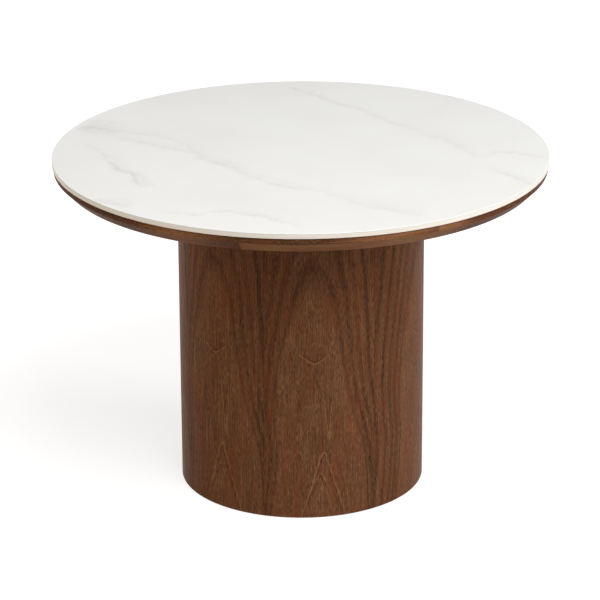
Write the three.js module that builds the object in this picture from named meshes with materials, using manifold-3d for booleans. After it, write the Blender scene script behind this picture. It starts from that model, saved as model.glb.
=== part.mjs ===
// Round dining table on a drum pedestal.
// A sintered stone slab lies on a panel with a solid walnut rim. The panel is bolted to a drum of
// kerfed board under walnut veneer, and the drum stands on four levelling feet.
// Millimetres, +Z up. The origin is on the floor, on the table's axis, and -Y is the front.

import * as THREE from 'three';
import { mergeVertices } from 'three/addons/utils/BufferGeometryUtils.js';
import Module from 'manifold-3d';

const wasm = await Module();
wasm.setup();

// Table as a whole
const tableHeight = 765;
const topDiameter = 1100;
const drumDiameter = 550;
const drumLift = 2; // from the floor to the drum's bottom edge

// Clearances
const fitGap = 0.3; // round a piece in its hole, and between cut joints
const seatGap = 0.1; // between flat faces that bear on each other
const cutOverrun = 1; // how far a cutting shape runs past the face that it cuts

// Stone slab
const stoneThickness = 12;
const stoneTopArris = 1;
const stoneUnderArris = 0.5;

// Silicone beads that bond the slab to the panel
const bondThickness = 1; // from panel to slab
const beadWidth = 8;
const beadRadiusShares = [0.24, 0.56, 0.9]; // of the core's radius

// Panel under the slab: a board core and a rim of solid walnut
const panelThickness = 34;
const rimSetback = 3; // how far the rim stands back under the slab's edge
const rimWidth = 40;
const rimChamfer = 22; // 45 degrees, under the rim
const rimTopArris = 1;
const rimPieces = 8;
const rimJointAngle = -103.6; // degrees, where the first rim joint shows left of the front
const tongueThickness = 8;
const tongueReach = 8;

// Drum shell: a board bent on saw kerfs
const drumWall = 12;
const kerfDepth = 9;
const kerfWidth = 3; // at the kerf's root; bending narrows its mouth
const kerfPitch = 28.5; // along the root

// Walnut veneer glued round the drum shell
const veneerThickness = 0.6;
const veneerFootArris = 0.4;

// Plate that closes the drum's top, and ring that stiffens its bottom
const plateThickness = 18;
const ringThickness = 25;
const ringWidth = 95;

// Battens between ring and plate
const battenWidth = 45;
const battenThickness = 20;
const battenCount = 4;
const battenAngle = 0; // degrees

// Countersunk screws that hold the battens
const screwLength = 50;
const screwShank = 5;
const screwHead = 10;
const screwHeadHeight = 3;
const screwTip = 6; // length of the point
const screwHoleSpare = 1; // depth of hole past the point

// Bolts that hold the panel on the drum
const boltShank = 8;
const boltLength = 35;
const boltHeadFlats = 13;
const boltHeadHeight = 5.3;
const boltCount = 6;
const boltAngle = 30; // degrees
const rodChamfer = 0.8; // at the end of a bolt or a stem
const boltInset = 80; // from the plate's edge to the bolt circle
const washerOuter = 24;
const washerThickness = 2;

// Flanged threaded inserts in the panel
const insertBody = 12;
const insertLength = 20;
const insertFlange = 18;
const insertFlangeThickness = 1.5;
const insertHoleSpare = 2; // depth of hole past the insert's end

// Levelling feet: a pad on a ball, a threaded stem and the nut that it turns in
const footCount = 4;
const footAngle = 45; // degrees
const footInset = 50; // from the ring's edge to the foot's axis
const padDiameter = 38;
const padHeight = 8;
const padShoulder = 5; // height of the pad's straight side
const padNeck = 14; // diameter of the pad's flat top
const padArris = 1;
const padFloor = 1.2; // left under the ball's socket
const ballDiameter = 8;
const neckDiameter = 5;
const stemDiameter = 8;
const stemLength = 40; // above the collar
const collarFlats = 13;
const collarHeight = 3;
const nutBody = 12;
const nutFlange = 22;
const nutFlangeThickness = 1.5;
const footRecessGap = 2.5; // round the pad in its recess

// Faces round each kind of turned piece
const largeFaces = 96;
const mediumFaces = 40;
const padFaces = 16;
const smallFaces = 10;
const hexFaces = 6;
const ballSteps = 4;

// Levels and radii that follow from the sizes above
const topRadius = topDiameter / 2;
const slabLevel = tableHeight - stoneThickness;
const panelTop = slabLevel - bondThickness;
const panelLevel = panelTop - panelThickness;
const rimRadius = topRadius - rimSetback;
const coreRadius = rimRadius - rimWidth;
const drumRadius = drumDiameter / 2;
const veneerInner = drumRadius - veneerThickness;
const boardRadius = veneerInner - seatGap;
const drumInner = boardRadius - drumWall;
const drumHeight = panelLevel - seatGap - drumLift;
const insertedRadius = drumInner - fitGap; // of the plate and the ring inside the drum
const plateLevel = panelLevel - seatGap - plateThickness;
const ringTop = drumLift + ringThickness;
const battenLevel = ringTop + seatGap;
const battenLength = plateLevel - seatGap - battenLevel;
const battenOuter = Math.sqrt(insertedRadius ** 2 - (battenWidth / 2) ** 2);
const battenCircle = battenOuter - battenThickness / 2;
const boltCircle = insertedRadius - boltInset;
const footCircle = insertedRadius - footInset;
const washerLevel = plateLevel - seatGap - washerThickness;
const boltLevel = washerLevel - seatGap;

// Levels inside a foot, from the floor up
const collarLevel = padHeight + fitGap;
const nutLevel = collarLevel + collarHeight + fitGap;
const recessCeiling = nutLevel + nutFlangeThickness + seatGap;
const nutLength = ringTop - fitGap - nutLevel;
const socketRadius = ballDiameter / 2 + fitGap;
const ballLevel = padFloor + socketRadius;

const slabMaterial = new THREE.MeshStandardMaterial({ color: '#f0eeeb', roughness: 0.35 });
const walnutMaterial = new THREE.MeshStandardMaterial({ color: '#6e442c', roughness: 0.5 });
const veneerMaterial = new THREE.MeshStandardMaterial({ color: '#5f3a25', roughness: 0.5 });
const boardMaterial = new THREE.MeshStandardMaterial({ color: '#a98761', roughness: 0.8 });
const plywoodMaterial = new THREE.MeshStandardMaterial({ color: '#c8a97c', roughness: 0.7 });
const pineMaterial = new THREE.MeshStandardMaterial({ color: '#d8b988', roughness: 0.7 });
const siliconeMaterial = new THREE.MeshStandardMaterial({ color: '#d6d5d0', roughness: 0.6 });
const zincMaterial = new THREE.MeshStandardMaterial({ color: '#b4b7ba', roughness: 0.35, metalness: 1 });
const nylonMaterial = new THREE.MeshStandardMaterial({ color: '#1d1d1e', roughness: 0.6 });
for (const material of [zincMaterial, pineMaterial, plywoodMaterial]) material.flatShading = true;

const radians = THREE.MathUtils.degToRad;

// Radius of a many-sided hole whose flats keep clear of the given radius
const flatsClear = (radius, faces) => radius / Math.cos(Math.PI / faces);

// Solid of revolution about Z from [radius, height] points that run outwards, up and back
function turned(points, faces) {
  const outline = points.map(([radius, height]) => new THREE.Vector2(radius, height));
  return new THREE.LatheGeometry(outline, faces).rotateX(Math.PI / 2);
}

// Ring of revolution whose section closes on itself
function turnedRing(section, faces) {
  return turned([...section, section[0]], faces);
}

// Plain cylinder or cone frustum standing at the given level
function rod(lowRadius, highRadius, level, height, faces) {
  const top = level + height;
  return turned([[0, level], [lowRadius, level], [highRadius, top], [0, top]], faces);
}

// Points repeated round the axis, once for each direction
function turnedPoints(points, angles) {
  const axis = new THREE.Vector2();
  return angles.flatMap((angle) => points.map(
    ([x, y]) => new THREE.Vector2(x, y).rotateAround(axis, radians(angle)).toArray(),
  ));
}

// Flat outline raised along Z from zero, with a hole where an inside outline is given
function raised(outline, height, inside = []) {
  const corners = (points) => points.map(([x, y]) => new THREE.Vector2(x, y));
  const shape = new THREE.Shape(corners(outline));
  if (inside.length) shape.holes.push(new THREE.Path(corners(inside)));
  return new THREE.ExtrudeGeometry(shape, { depth: height, bevelEnabled: false });
}

// Closed solid for joining and cutting
function solid(geometry) {
  const bare = geometry.clone();
  bare.deleteAttribute('normal');
  bare.deleteAttribute('uv');
  const merged = mergeVertices(bare);
  const corners = merged.index.array;
  const triangles = [];
  for (let i = 0; i < corners.length; i += 3) {
    const [a, b, c] = corners.slice(i, i + 3);
    if (a !== b && b !== c && c !== a) triangles.push(a, b, c);
  }
  return new wasm.Manifold(new wasm.Mesh({
    numProp: 3,
    vertProperties: merged.attributes.position.array,
    triVerts: new Uint32Array(triangles),
  }));
}

function geometryOf(body) {
  const { vertProperties, triVerts, numProp } = body.getMesh();
  const geometry = new THREE.BufferGeometry();
  geometry.setAttribute('position', new THREE.BufferAttribute(vertProperties, numProp));
  geometry.setIndex(new THREE.BufferAttribute(triVerts, 1));
  geometry.computeVertexNormals();
  return geometry;
}

function cut(geometry, tools) {
  return geometryOf(tools.reduce((body, tool) => body.subtract(solid(tool)), solid(geometry)));
}

function joined(first, second) {
  return geometryOf(solid(first).add(solid(second)));
}

function overlapOf(first, second) {
  return geometryOf(solid(first).intersect(solid(second)));
}

// Evenly spaced directions round the axis, in degrees
function directions(count, firstAngle) {
  return Array.from({ length: count }, (_, i) => firstAngle + (i * 360) / count);
}

// Copies of a cutting shape, moved out to a circle
function onCircle(tool, circle, angles) {
  return angles.map((angle) => tool.clone().translate(circle, 0, 0).rotateZ(radians(angle)));
}

const table = new THREE.Group();

function addPiece(parent, name, geometry, material) {
  const piece = new THREE.Mesh(geometry, material);
  piece.name = name;
  parent.add(piece);
  return piece;
}

// One numbered copy of a piece for each direction, moved out to its circle
function addRound(parent, name, geometry, material, circle, angles, level = 0) {
  angles.forEach((angle, i) => {
    const arm = new THREE.Group();
    arm.rotation.z = radians(angle);
    arm.position.z = level;
    const piece = addPiece(arm, `${name}_${i + 1}`, geometry, material);
    piece.position.x = circle;
    parent.add(arm);
  });
}

// Threaded insert or nut with a flange at its foot, standing on zero
function flangedTube(body, flange, flangeThickness, length, bore) {
  const inner = flatsClear(bore / 2 + fitGap, smallFaces);
  return turnedRing([
    [inner, 0],
    [flange / 2, 0],
    [flange / 2, flangeThickness],
    [body / 2, flangeThickness],
    [body / 2, length],
    [inner, length],
  ], smallFaces);
}

// Hole for such an insert, cut upwards from zero
function flangedHole(body, flange, flangeThickness, depth) {
  const bodyRadius = flatsClear(body / 2 + fitGap, smallFaces);
  const flangeRadius = flatsClear(flange / 2 + fitGap, smallFaces);
  const step = flangeThickness + seatGap;
  return turned([
    [0, -cutOverrun],
    [flangeRadius, -cutOverrun],
    [flangeRadius, step],
    [bodyRadius, step],
    [bodyRadius, depth],
    [0, depth],
  ], smallFaces);
}

// Angles of what stands round the axis
const boltAngles = directions(boltCount, boltAngle);
const battenAngles = directions(battenCount, battenAngle);
const footAngles = directions(footCount, footAngle);

// Slab with a fine arris above and below
function stoneSlab() {
  return turned([
    [0, 0],
    [topRadius - stoneUnderArris, 0],
    [topRadius, stoneUnderArris],
    [topRadius, stoneThickness - stoneTopArris],
    [topRadius - stoneTopArris, stoneThickness],
    [0, stoneThickness],
  ], largeFaces);
}

function bondBead(radius) {
  const inner = radius - beadWidth / 2;
  const outer = radius + beadWidth / 2;
  const height = bondThickness - 2 * seatGap;
  return turnedRing([[inner, 0], [outer, 0], [outer, height], [inner, height]], mediumFaces);
}

// Board core, grooved round its edge for the rim's tongue and drilled for the inserts
const tongueLow = (panelThickness - tongueThickness) / 2;
const tongueHigh = tongueLow + tongueThickness;

function panelCore() {
  const grooveRadius = coreRadius - tongueReach - fitGap;
  const board = turned([
    [0, 0],
    [coreRadius, 0],
    [coreRadius, tongueLow - fitGap],
    [grooveRadius, tongueLow - fitGap],
    [grooveRadius, tongueHigh + fitGap],
    [coreRadius, tongueHigh + fitGap],
    [coreRadius, panelThickness],
    [0, panelThickness],
  ], largeFaces);
  const depth = insertLength + insertHoleSpare;
  const hole = flangedHole(insertBody, insertFlange, insertFlangeThickness, depth);
  return cut(board, onCircle(hole, boltCircle, boltAngles));
}

// One eighth of the walnut rim: a revolved section with its tongue, sawn to length
function rimPiece() {
  const inner = flatsClear(coreRadius + fitGap, largeFaces);
  const section = [
    [inner, 0],
    [rimRadius - rimChamfer, 0],
    [rimRadius, rimChamfer],
    [rimRadius, panelThickness - rimTopArris],
    [rimRadius - rimTopArris, panelThickness],
    [inner, panelThickness],
    [inner, tongueHigh],
    [inner - tongueReach, tongueHigh],
    [inner - tongueReach, tongueLow],
    [inner, tongueLow],
  ];
  const half = Math.PI / rimPieces;
  const apex = fitGap / 2 / Math.sin(half);
  const reach = rimRadius + cutOverrun;
  const side = reach * Math.tan(half);
  const wedge = raised(
    [[apex, 0], [apex + reach, -side], [apex + reach, side]],
    panelThickness + 2 * cutOverrun,
  );
  return overlapOf(turnedRing(section, largeFaces), wedge.translate(0, 0, -cutOverrun));
}

// Kerfed board bent into a drum. Between kerfs the board stays flat, so each land is a straight
// block with parallel sides, and each kerf is a wedge that closes towards its mouth.
function drumShell() {
  const rootRadius = drumInner + kerfDepth;
  const lands = Math.round((2 * Math.PI * rootRadius) / kerfPitch);
  const landHalf = rootRadius * Math.tan(Math.PI / lands) - kerfWidth / 2;
  const land = [
    [rootRadius, -landHalf],
    [drumInner, -landHalf],
    [drumInner, landHalf],
    [rootRadius, landHalf],
  ];
  const outside = turnedPoints([[boardRadius, 0]], directions(largeFaces, 0));
  const inside = turnedPoints(land, directions(lands, 0));
  return raised(outside, drumHeight, inside);
}

// Sleeve of veneer, its foot eased with a fine arris
function drumVeneer() {
  return turnedRing([
    [veneerInner, 0],
    [drumRadius - veneerFootArris, 0],
    [drumRadius, veneerFootArris],
    [drumRadius, drumHeight],
    [veneerInner, drumHeight],
  ], largeFaces);
}

// Countersunk screw pointing up, its head flush with zero
function screw() {
  return turned([
    [0, 0],
    [screwHead / 2, 0],
    [screwShank / 2, screwHeadHeight],
    [screwShank / 2, screwLength - screwTip],
    [0, screwLength],
  ], smallFaces);
}

function screwHole() {
  const head = flatsClear(screwHead / 2 + fitGap, smallFaces);
  const shank = flatsClear(screwShank / 2 + fitGap, smallFaces);
  const depth = screwLength + screwHoleSpare;
  return turned([
    [0, -cutOverrun],
    [head, -cutOverrun],
    [head, 0],
    [shank, screwHeadHeight],
    [shank, depth],
    [0, depth],
  ], smallFaces);
}

function turnedOver(geometry, level) {
  return geometry.rotateX(Math.PI).translate(0, 0, level);
}

// Plate with a hole for each bolt and a countersunk hole over each batten
function drumPlate() {
  const disc = rod(insertedRadius, insertedRadius, 0, plateThickness, largeFaces);
  const boltRadius = flatsClear(boltShank / 2 + fitGap, smallFaces);
  const drilled = plateThickness + 2 * cutOverrun;
  const boltHole = rod(boltRadius, boltRadius, -cutOverrun, drilled, smallFaces);
  const battenHole = turnedOver(screwHole(), plateThickness);
  return cut(disc, [
    ...onCircle(boltHole, boltCircle, boltAngles),
    ...onCircle(battenHole, battenCircle, battenAngles),
  ]);
}

// Ring with a recess for each foot's pad, a hole for its nut, and a countersunk hole under each
// batten. Its middle is open, so that a hand and a socket bar reach the bolts.
function baseRing() {
  const inner = insertedRadius - ringWidth;
  const ring = turnedRing([
    [inner, 0],
    [insertedRadius, 0],
    [insertedRadius, ringThickness],
    [inner, ringThickness],
  ], largeFaces);
  const recessRadius = padDiameter / 2 + footRecessGap;
  const nutRadius = flatsClear(nutBody / 2 + fitGap, smallFaces);
  const recess = rod(recessRadius, recessRadius, -cutOverrun, recessCeiling - drumLift + cutOverrun, padFaces);
  const nutHole = rod(nutRadius, nutRadius, 0, ringThickness + cutOverrun, smallFaces);
  return cut(ring, [
    ...onCircle(recess, footCircle, footAngles),
    ...onCircle(nutHole, footCircle, footAngles),
    ...onCircle(screwHole(), battenCircle, battenAngles),
  ]);
}

// Batten drilled at both ends for its screws
function batten() {
  const bar = new THREE.BoxGeometry(battenThickness, battenWidth, battenLength);
  bar.translate(0, 0, battenLength / 2);
  const fromBelow = screwHole().translate(0, 0, -seatGap - ringThickness);
  const fromAbove = turnedOver(screwHole(), battenLength + seatGap + plateThickness);
  return cut(bar, [fromBelow, fromAbove]);
}

// Hexagon bolt pointing up, the bearing face of its head at zero
function bolt() {
  const headRadius = flatsClear(boltHeadFlats / 2, hexFaces);
  const head = rod(headRadius, headRadius, -boltHeadHeight, boltHeadHeight, hexFaces);
  const shank = threadedRod(boltShank / 2, -boltHeadHeight / 2, boltLength);
  return joined(head, shank);
}

// Plain shank from one level to another, with a chamfered end
function threadedRod(radius, low, high) {
  return turned([
    [0, low],
    [radius, low],
    [radius, high - rodChamfer],
    [radius - rodChamfer, high],
    [0, high],
  ], smallFaces);
}

function washer() {
  const inner = flatsClear(boltShank / 2 + fitGap, smallFaces);
  const outer = washerOuter / 2;
  return turnedRing([[inner, 0], [outer, 0], [outer, washerThickness], [inner, washerThickness]], smallFaces);
}

// Points of an arc in a section, from one elevation to another, in radians
function arcPoints(radius, level, from, to) {
  return Array.from({ length: ballSteps + 1 }, (_, i) => {
    const elevation = from + ((to - from) * i) / ballSteps;
    return [radius * Math.cos(elevation), level + radius * Math.sin(elevation)];
  });
}

// Pad with a socket that closes in over the ball
function footPad() {
  const radius = padDiameter / 2;
  const mouth = Math.asin((padHeight - ballLevel) / socketRadius);
  const socket = arcPoints(socketRadius, ballLevel, mouth, -Math.PI / 2);
  socket[ballSteps][0] = 0;
  return turned([
    [0, 0],
    [radius - padArris, 0],
    [radius, padArris],
    [radius, padShoulder],
    [padNeck / 2, padHeight],
    ...socket,
  ], padFaces);
}

// Ball, neck, hexagon collar and threaded stem in one piece
function footStem() {
  const ballRadius = ballDiameter / 2;
  const neckRadius = neckDiameter / 2;
  const stemRadius = stemDiameter / 2;
  const middle = collarLevel + collarHeight / 2;
  const end = collarLevel + collarHeight + stemLength;
  const ball = arcPoints(ballRadius, ballLevel, -Math.PI / 2, Math.acos(neckRadius / ballRadius));
  ball[0][0] = 0;
  const turnedPart = turned([
    ...ball,
    [neckRadius, middle],
    [stemRadius, middle],
    [stemRadius, end - rodChamfer],
    [stemRadius - rodChamfer, end],
    [0, end],
  ], smallFaces);
  const collarRadius = flatsClear(collarFlats / 2, hexFaces);
  const collar = rod(collarRadius, collarRadius, collarLevel, collarHeight, hexFaces);
  return joined(turnedPart, collar);
}

// Top: slab, beads of silicone, core, rim and the inserts in the core
const top = new THREE.Group();
top.position.z = panelLevel;
table.add(top);
addPiece(top, 'stone_top', stoneSlab(), slabMaterial).position.z = panelThickness + bondThickness;
beadRadiusShares.forEach((share, i) => {
  const bead = addPiece(top, `bond_bead_${i + 1}`, bondBead(coreRadius * share), siliconeMaterial);
  bead.position.z = panelThickness + seatGap;
});
addPiece(top, 'panel_core', panelCore(), boardMaterial);
const rimAngles = directions(rimPieces, rimJointAngle + 180 / rimPieces);
addRound(top, 'rim_piece', rimPiece(), walnutMaterial, 0, rimAngles);
const panelInsert = flangedTube(insertBody, insertFlange, insertFlangeThickness, insertLength, boltShank);
addRound(top, 'panel_insert', panelInsert, zincMaterial, boltCircle, boltAngles);

// Drum: shell, veneer, plate, ring, battens and what holds them together
const drum = new THREE.Group();
table.add(drum);
addPiece(drum, 'drum_shell', drumShell(), boardMaterial).position.z = drumLift;
addPiece(drum, 'drum_veneer', drumVeneer(), veneerMaterial).position.z = drumLift;
addPiece(drum, 'drum_plate', drumPlate(), plywoodMaterial).position.z = plateLevel;
addPiece(drum, 'base_ring', baseRing(), plywoodMaterial).position.z = drumLift;
addRound(drum, 'batten', batten(), pineMaterial, battenCircle, battenAngles, battenLevel);
const upperScrew = turnedOver(screw(), plateLevel + plateThickness);
addRound(drum, 'upper_screw', upperScrew, zincMaterial, battenCircle, battenAngles);
addRound(drum, 'lower_screw', screw(), zincMaterial, battenCircle, battenAngles, drumLift);
addRound(drum, 'panel_bolt', bolt(), zincMaterial, boltCircle, boltAngles, boltLevel);
addRound(drum, 'bolt_washer', washer(), zincMaterial, boltCircle, boltAngles, washerLevel);

// Levelling feet, each a pad, a stem and a flanged nut in the ring
const feet = new THREE.Group();
table.add(feet);
const footNut = flangedTube(nutBody, nutFlange, nutFlangeThickness, nutLength, stemDiameter);
addRound(feet, 'foot_pad', footPad(), nylonMaterial, footCircle, footAngles);
addRound(feet, 'foot_stem', footStem(), zincMaterial, footCircle, footAngles);
addRound(feet, 'foot_nut', footNut, zincMaterial, footCircle, footAngles, nutLevel);

export default table;
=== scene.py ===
"""Round pedestal table: finish, light and camera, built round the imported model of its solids.

A slab of sintered stone lies on a panel with a bevelled walnut rim, and the panel is bolted to a
drum in walnut veneer on levelling feet. Metres, +Z up, and -Y is the front.
"""

import math

import bmesh
import bpy
from bpy.props import FloatProperty, FloatVectorProperty, IntProperty, PointerProperty
from mathutils import Matrix, Vector


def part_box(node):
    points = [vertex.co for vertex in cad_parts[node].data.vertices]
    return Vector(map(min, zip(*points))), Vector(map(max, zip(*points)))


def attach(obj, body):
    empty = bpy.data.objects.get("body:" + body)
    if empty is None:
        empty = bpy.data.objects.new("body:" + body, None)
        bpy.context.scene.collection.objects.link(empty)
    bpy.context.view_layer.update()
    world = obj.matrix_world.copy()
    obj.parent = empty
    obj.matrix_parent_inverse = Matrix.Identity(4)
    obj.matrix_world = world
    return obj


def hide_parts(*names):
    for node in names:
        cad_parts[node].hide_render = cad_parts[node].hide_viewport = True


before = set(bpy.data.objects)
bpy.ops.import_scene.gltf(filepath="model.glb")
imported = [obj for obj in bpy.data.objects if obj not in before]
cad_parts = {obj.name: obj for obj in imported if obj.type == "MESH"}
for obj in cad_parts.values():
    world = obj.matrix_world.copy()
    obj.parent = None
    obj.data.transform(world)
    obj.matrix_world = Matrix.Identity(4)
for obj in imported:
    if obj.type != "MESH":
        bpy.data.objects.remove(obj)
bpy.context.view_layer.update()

bl_info = {
    "name": "Round Pedestal Table",
    "version": (1, 0, 0),
    "blender": (4, 5, 0),
    "location": "3D View > Sidebar > Table",
    "description": "Finishes a round table with a stone top, a walnut rim and a veneered drum",
    "category": "Add Mesh",
}

MM = 0.001

# Boxes of the solids, in metres
STONE_LOW, STONE_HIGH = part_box("stone_top")
CORE_LOW, CORE_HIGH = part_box("panel_core")
VENEER_LOW, VENEER_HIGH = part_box("drum_veneer")
SHELL_LOW, SHELL_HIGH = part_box("drum_shell")
RING_LOW, RING_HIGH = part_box("base_ring")
BATTEN_LOW, BATTEN_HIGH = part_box("batten_1")
BOLT_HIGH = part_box("panel_bolt_1")[1]
WASHER_LOW, WASHER_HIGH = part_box("bolt_washer_1")
INSERT_LOW, INSERT_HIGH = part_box("panel_insert_1")
LOWER_LOW, LOWER_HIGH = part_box("lower_screw_1")
UPPER_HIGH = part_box("upper_screw_1")[1]
PAD_LOW, PAD_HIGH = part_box("foot_pad_1")
STEM_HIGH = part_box("foot_stem_1")[1]
NUT_LOW, NUT_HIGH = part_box("foot_nut_1")

# Places of the first foot, bolt and batten, seen from above
FOOT_PLACE = (PAD_LOW + PAD_HIGH).xy / 2
BOLT_PLACE = (WASHER_LOW + WASHER_HIGH).xy / 2
BATTEN_PLACE = (BATTEN_LOW + BATTEN_HIGH).xy / 2

# Sizes of the solids that their boxes don't give. Those of shanks, heads, bodies, flanges and the
# pad's neck are radii
FIT_GAP = 0.3 * MM  # round a piece in its hole
SEAT_GAP = 0.1 * MM  # between flat faces that bear on each other
CORNER_COUNT = 4  # feet, battens and the screws and nuts that go with them
BOLT_COUNT = 6
BEAD_COUNT = 3
RIM_SETBACK = 3 * MM
RIM_CHAMFER = 22 * MM
RIM_PIECES = 8
RIM_FIRST_JOINT = math.radians(-103.6)
TONGUE_THICKNESS = 8 * MM
TONGUE_REACH = 8 * MM
VENEER_THICKNESS = 0.6 * MM
VENEER_FOOT_ARRIS = 0.4 * MM
BEAD_WIDTH = 8 * MM
BOARD_THICKNESS = 12 * MM
KERF_DEPTH = 9 * MM
KERF_WIDTH = 3 * MM
KERF_COUNT = 60
RING_WIDTH = 95 * MM
BOLT_SHANK = 4 * MM
BOLT_HEAD_HEIGHT = 5.3 * MM
HEX_FLATS = 13 * MM
SCREW_SHANK = 2.5 * MM
SCREW_HEAD = 5 * MM
SCREW_HEAD_HEIGHT = 3 * MM
INSERT_BODY = 6 * MM
INSERT_FLANGE = 9 * MM
NUT_FLANGE = 11 * MM
FLANGE_THICKNESS = 1.5 * MM
BALL_RADIUS = 4 * MM
BALL_LEVEL = 5.5 * MM
NECK_RADIUS = 2.5 * MM
COLLAR_LEVEL = 8.3 * MM
COLLAR_HEIGHT = 3 * MM
PAD_SHOULDER = 5 * MM
PAD_NECK = 7 * MM
RECESS_RADIUS = 21.5 * MM
RECESS_CEILING = 13.2 * MM

# Fine forms that the solids leave out
RIM_JOINT = 0.1 * MM
LEAF_SEAM = 0.03 * MM  # on each side of the seam
ARC_SHARE = 0.3  # of an arris, where its arc's middle stands in from both faces
BEAD_EASE_SHARE = 0.45
RING_EASE = 1.5 * MM
BATTEN_EASE = 1 * MM
PAD_FOOT_EASE = 1 * MM
PAD_SHOULDER_EASE = 0.8 * MM
PAD_NECK_EASE = 0.5 * MM
FINE_CHAMFER = 0.2 * MM
FLANGE_CHAMFER = 0.3 * MM
HEX_FACE_SHARE = 0.95  # of the flats, across the round face that the chamfer leaves
HEX_CHAMFER_SLOPE = math.radians(30)
BOLT_THREAD_DEPTH = 0.6 * MM
SLEEVE_THREAD_DEPTH = 0.3 * MM
SLEEVE_LEAD = 0.5 * MM
SCREW_THREAD_DEPTH = 0.7 * MM
SCREW_PITCH = 2.5 * MM
SCREW_TIP = 6 * MM
CROSS_MOUTH = 2.7 * MM
CROSS_ROOT = 1.2 * MM
CROSS_WIDTH = 1 * MM
CROSS_DEPTH = 2.2 * MM
CROSS_OVER = 0.5 * MM
OVERRUN = 1 * MM  # of every hole past the face that it leaves by

# How far apart the rim's planks lie in their tree, in metres across, through and along the grain
PLANK_STEP = (0.09, 0.07, 0.9)
PLANKS_ABREAST = 3

# Seams between the leaves of veneer, and the crown of each leaf's figure, in degrees to the right
# of the front
SEAM_ANGLES = (-324.6, -262, -213.1, -164.2, -115.3, -66.4, -17.5, 35.4)
CROWN_ANGLES = (-288, -237.6, -188.7, -139.8, -90.9, -42.5, 7.5)

# Camera, fitted to the photograph's edges
LENS = 185.216  # millimetres
SENSOR = 36
CAMERA_PLACE = Vector((0, -6.5127, 2.856))
CAMERA_PITCH = math.radians(20.5506)
CAMERA_YAW = math.radians(0.0273)
CAMERA_ROLL = math.radians(-0.2823)

# Lamps: place, height on the axis at which each aims, and width
LAMPS = {
    "overhead": ((0.3, 0.3, 4.6), 0.7, 4.0),
    "front": ((1.3, -3.3, 4.6), 0.4, 2.8),
    "side": ((4.2, -1.6, 2.0), 0.5, 2.0),
    "fill": ((-4.0, -2.0, 1.9), 0.5, 2.4),
    "back": ((-3.2, 2.8, 3.4), 0.4, 2.6),
}
LOW_LAMPS = ("side", "fill")
FLOOR_RADIUS = 40
FLOOR_REACH = (0.6, 4.0)  # how far from the axis the floor's glow is at its least and most
FLOOR_GLOW = (0.725, 1.0)

SHARP = math.radians(35)  # faces that meet at more than this show an edge
ROUND_STEPS = 256
SMALL_STEPS = 48
EASE_STEPS = 4
SOCKET_STEPS = 16
BALL_STEPS = 12
THREAD_ROWS = 6  # for each turn


def linear(colour):
    """Linear red, green, blue and alpha of an sRGB hex value."""
    channels = [int(colour[i:i + 2], 16) / 255 for i in (1, 3, 5)]
    curve = [c / 12.92 if c <= 0.04045 else ((c + 0.055) / 1.055) ** 2.4 for c in channels]
    return (*curve, 1.0)


def hue(name, description, colour):
    """A colour property with an sRGB hex value as its default."""
    return FloatVectorProperty(
        name=name, description=description, subtype="COLOR", size=4, min=0, max=1,
        default=linear(colour),
    )


def measure(name, description, default):
    """A length property."""
    return FloatProperty(name=name, description=description, subtype="DISTANCE", default=default)


def power(name, description, default):
    """A property for a lamp's power."""
    return FloatProperty(name=name, description=description, subtype="POWER", default=default)


class StoneSettings(bpy.types.PropertyGroup):
    """Finish of the stone slab."""

    top_arris: measure("Top Arris", "Rounding of the upper edge", 1.5 * MM)
    under_arris: measure("Under Arris", "Rounding of the lower edge", 1.5 * MM)
    face: hue("Face", "Ground colour of the printed face", "#efefed")
    haze: hue("Haze", "Colour of the faint clouds in the face", "#ecebe9")
    vein: hue("Vein", "Colour of the veins", "#a9a9a8")
    # Darker grey line just under the arris; the face colour above it paints the arris's highlight
    glaze: hue("Edge Line", "Colour of the arris and the line under it", "#d9d7d0")
    body: hue("Body", "Colour of the fired body, seen at the edge", "#ebe2d6")
    vein_strength: FloatProperty(
        name="Vein Strength", description="How strongly the veins show", subtype="FACTOR",
        min=0, max=1, default=0.34,
    )


class WalnutSettings(bpy.types.PropertyGroup):
    """Colours and figure of the walnut."""

    dark: hue("Latewood", "Darkest streaks", "#2f2219")
    brown: hue("Heartwood", "Main brown", "#684630")
    light: hue("Earlywood", "Lightest streaks", "#966947")
    red: hue("Red Streak", "Reddish streaks", "#793d24")
    ring_width: FloatProperty(
        name="Ring Width", description="Width of a growth ring in millimetres", min=1, default=8.6,
    )
    ease: measure("Eased Edge", "Rounding of the rim's edges", 0.8 * MM)


class HardwareSettings(bpy.types.PropertyGroup):
    """Metal and plastic pieces."""

    zinc: hue("Zinc", "Colour of the zinc plate", "#c6c9cc")
    nylon: hue("Nylon", "Colour of the foot pads", "#1c1c1d")
    thread_pitch: measure("Thread Pitch", "Pitch of the M8 threads", 1.25 * MM)
    turn_seed: IntProperty(
        name="Turn Seed", description="Seed for how far each fastener is turned", default=7,
    )


class StageSettings(bpy.types.PropertyGroup):
    """Floor, lamps and world."""

    overhead: power("Overhead", "Power of the overhead lamp", 23)
    front: power("Front", "Power of the lamp high in front", 201)
    side: power("Side", "Power of the lamp on the right", 106)
    fill: power("Fill", "Power of the lamp on the left", 56)
    back: power("Back", "Power of the lamp behind", 38)
    world: FloatProperty(
        name="World", description="Strength of the light from all round", min=0, default=0.06,
    )
    fill_colour: hue("Fill Colour", "Colour of the lamp on the left", "#fff0d4")
    floor: hue("Floor", "Colour of the floor", "#bebebe")


class TableSettings(bpy.types.PropertyGroup):
    """All settings of the table."""

    stone: PointerProperty(type=StoneSettings)
    walnut: PointerProperty(type=WalnutSettings)
    hardware: PointerProperty(type=HardwareSettings)
    stage: PointerProperty(type=StageSettings)


# Meshes

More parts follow.
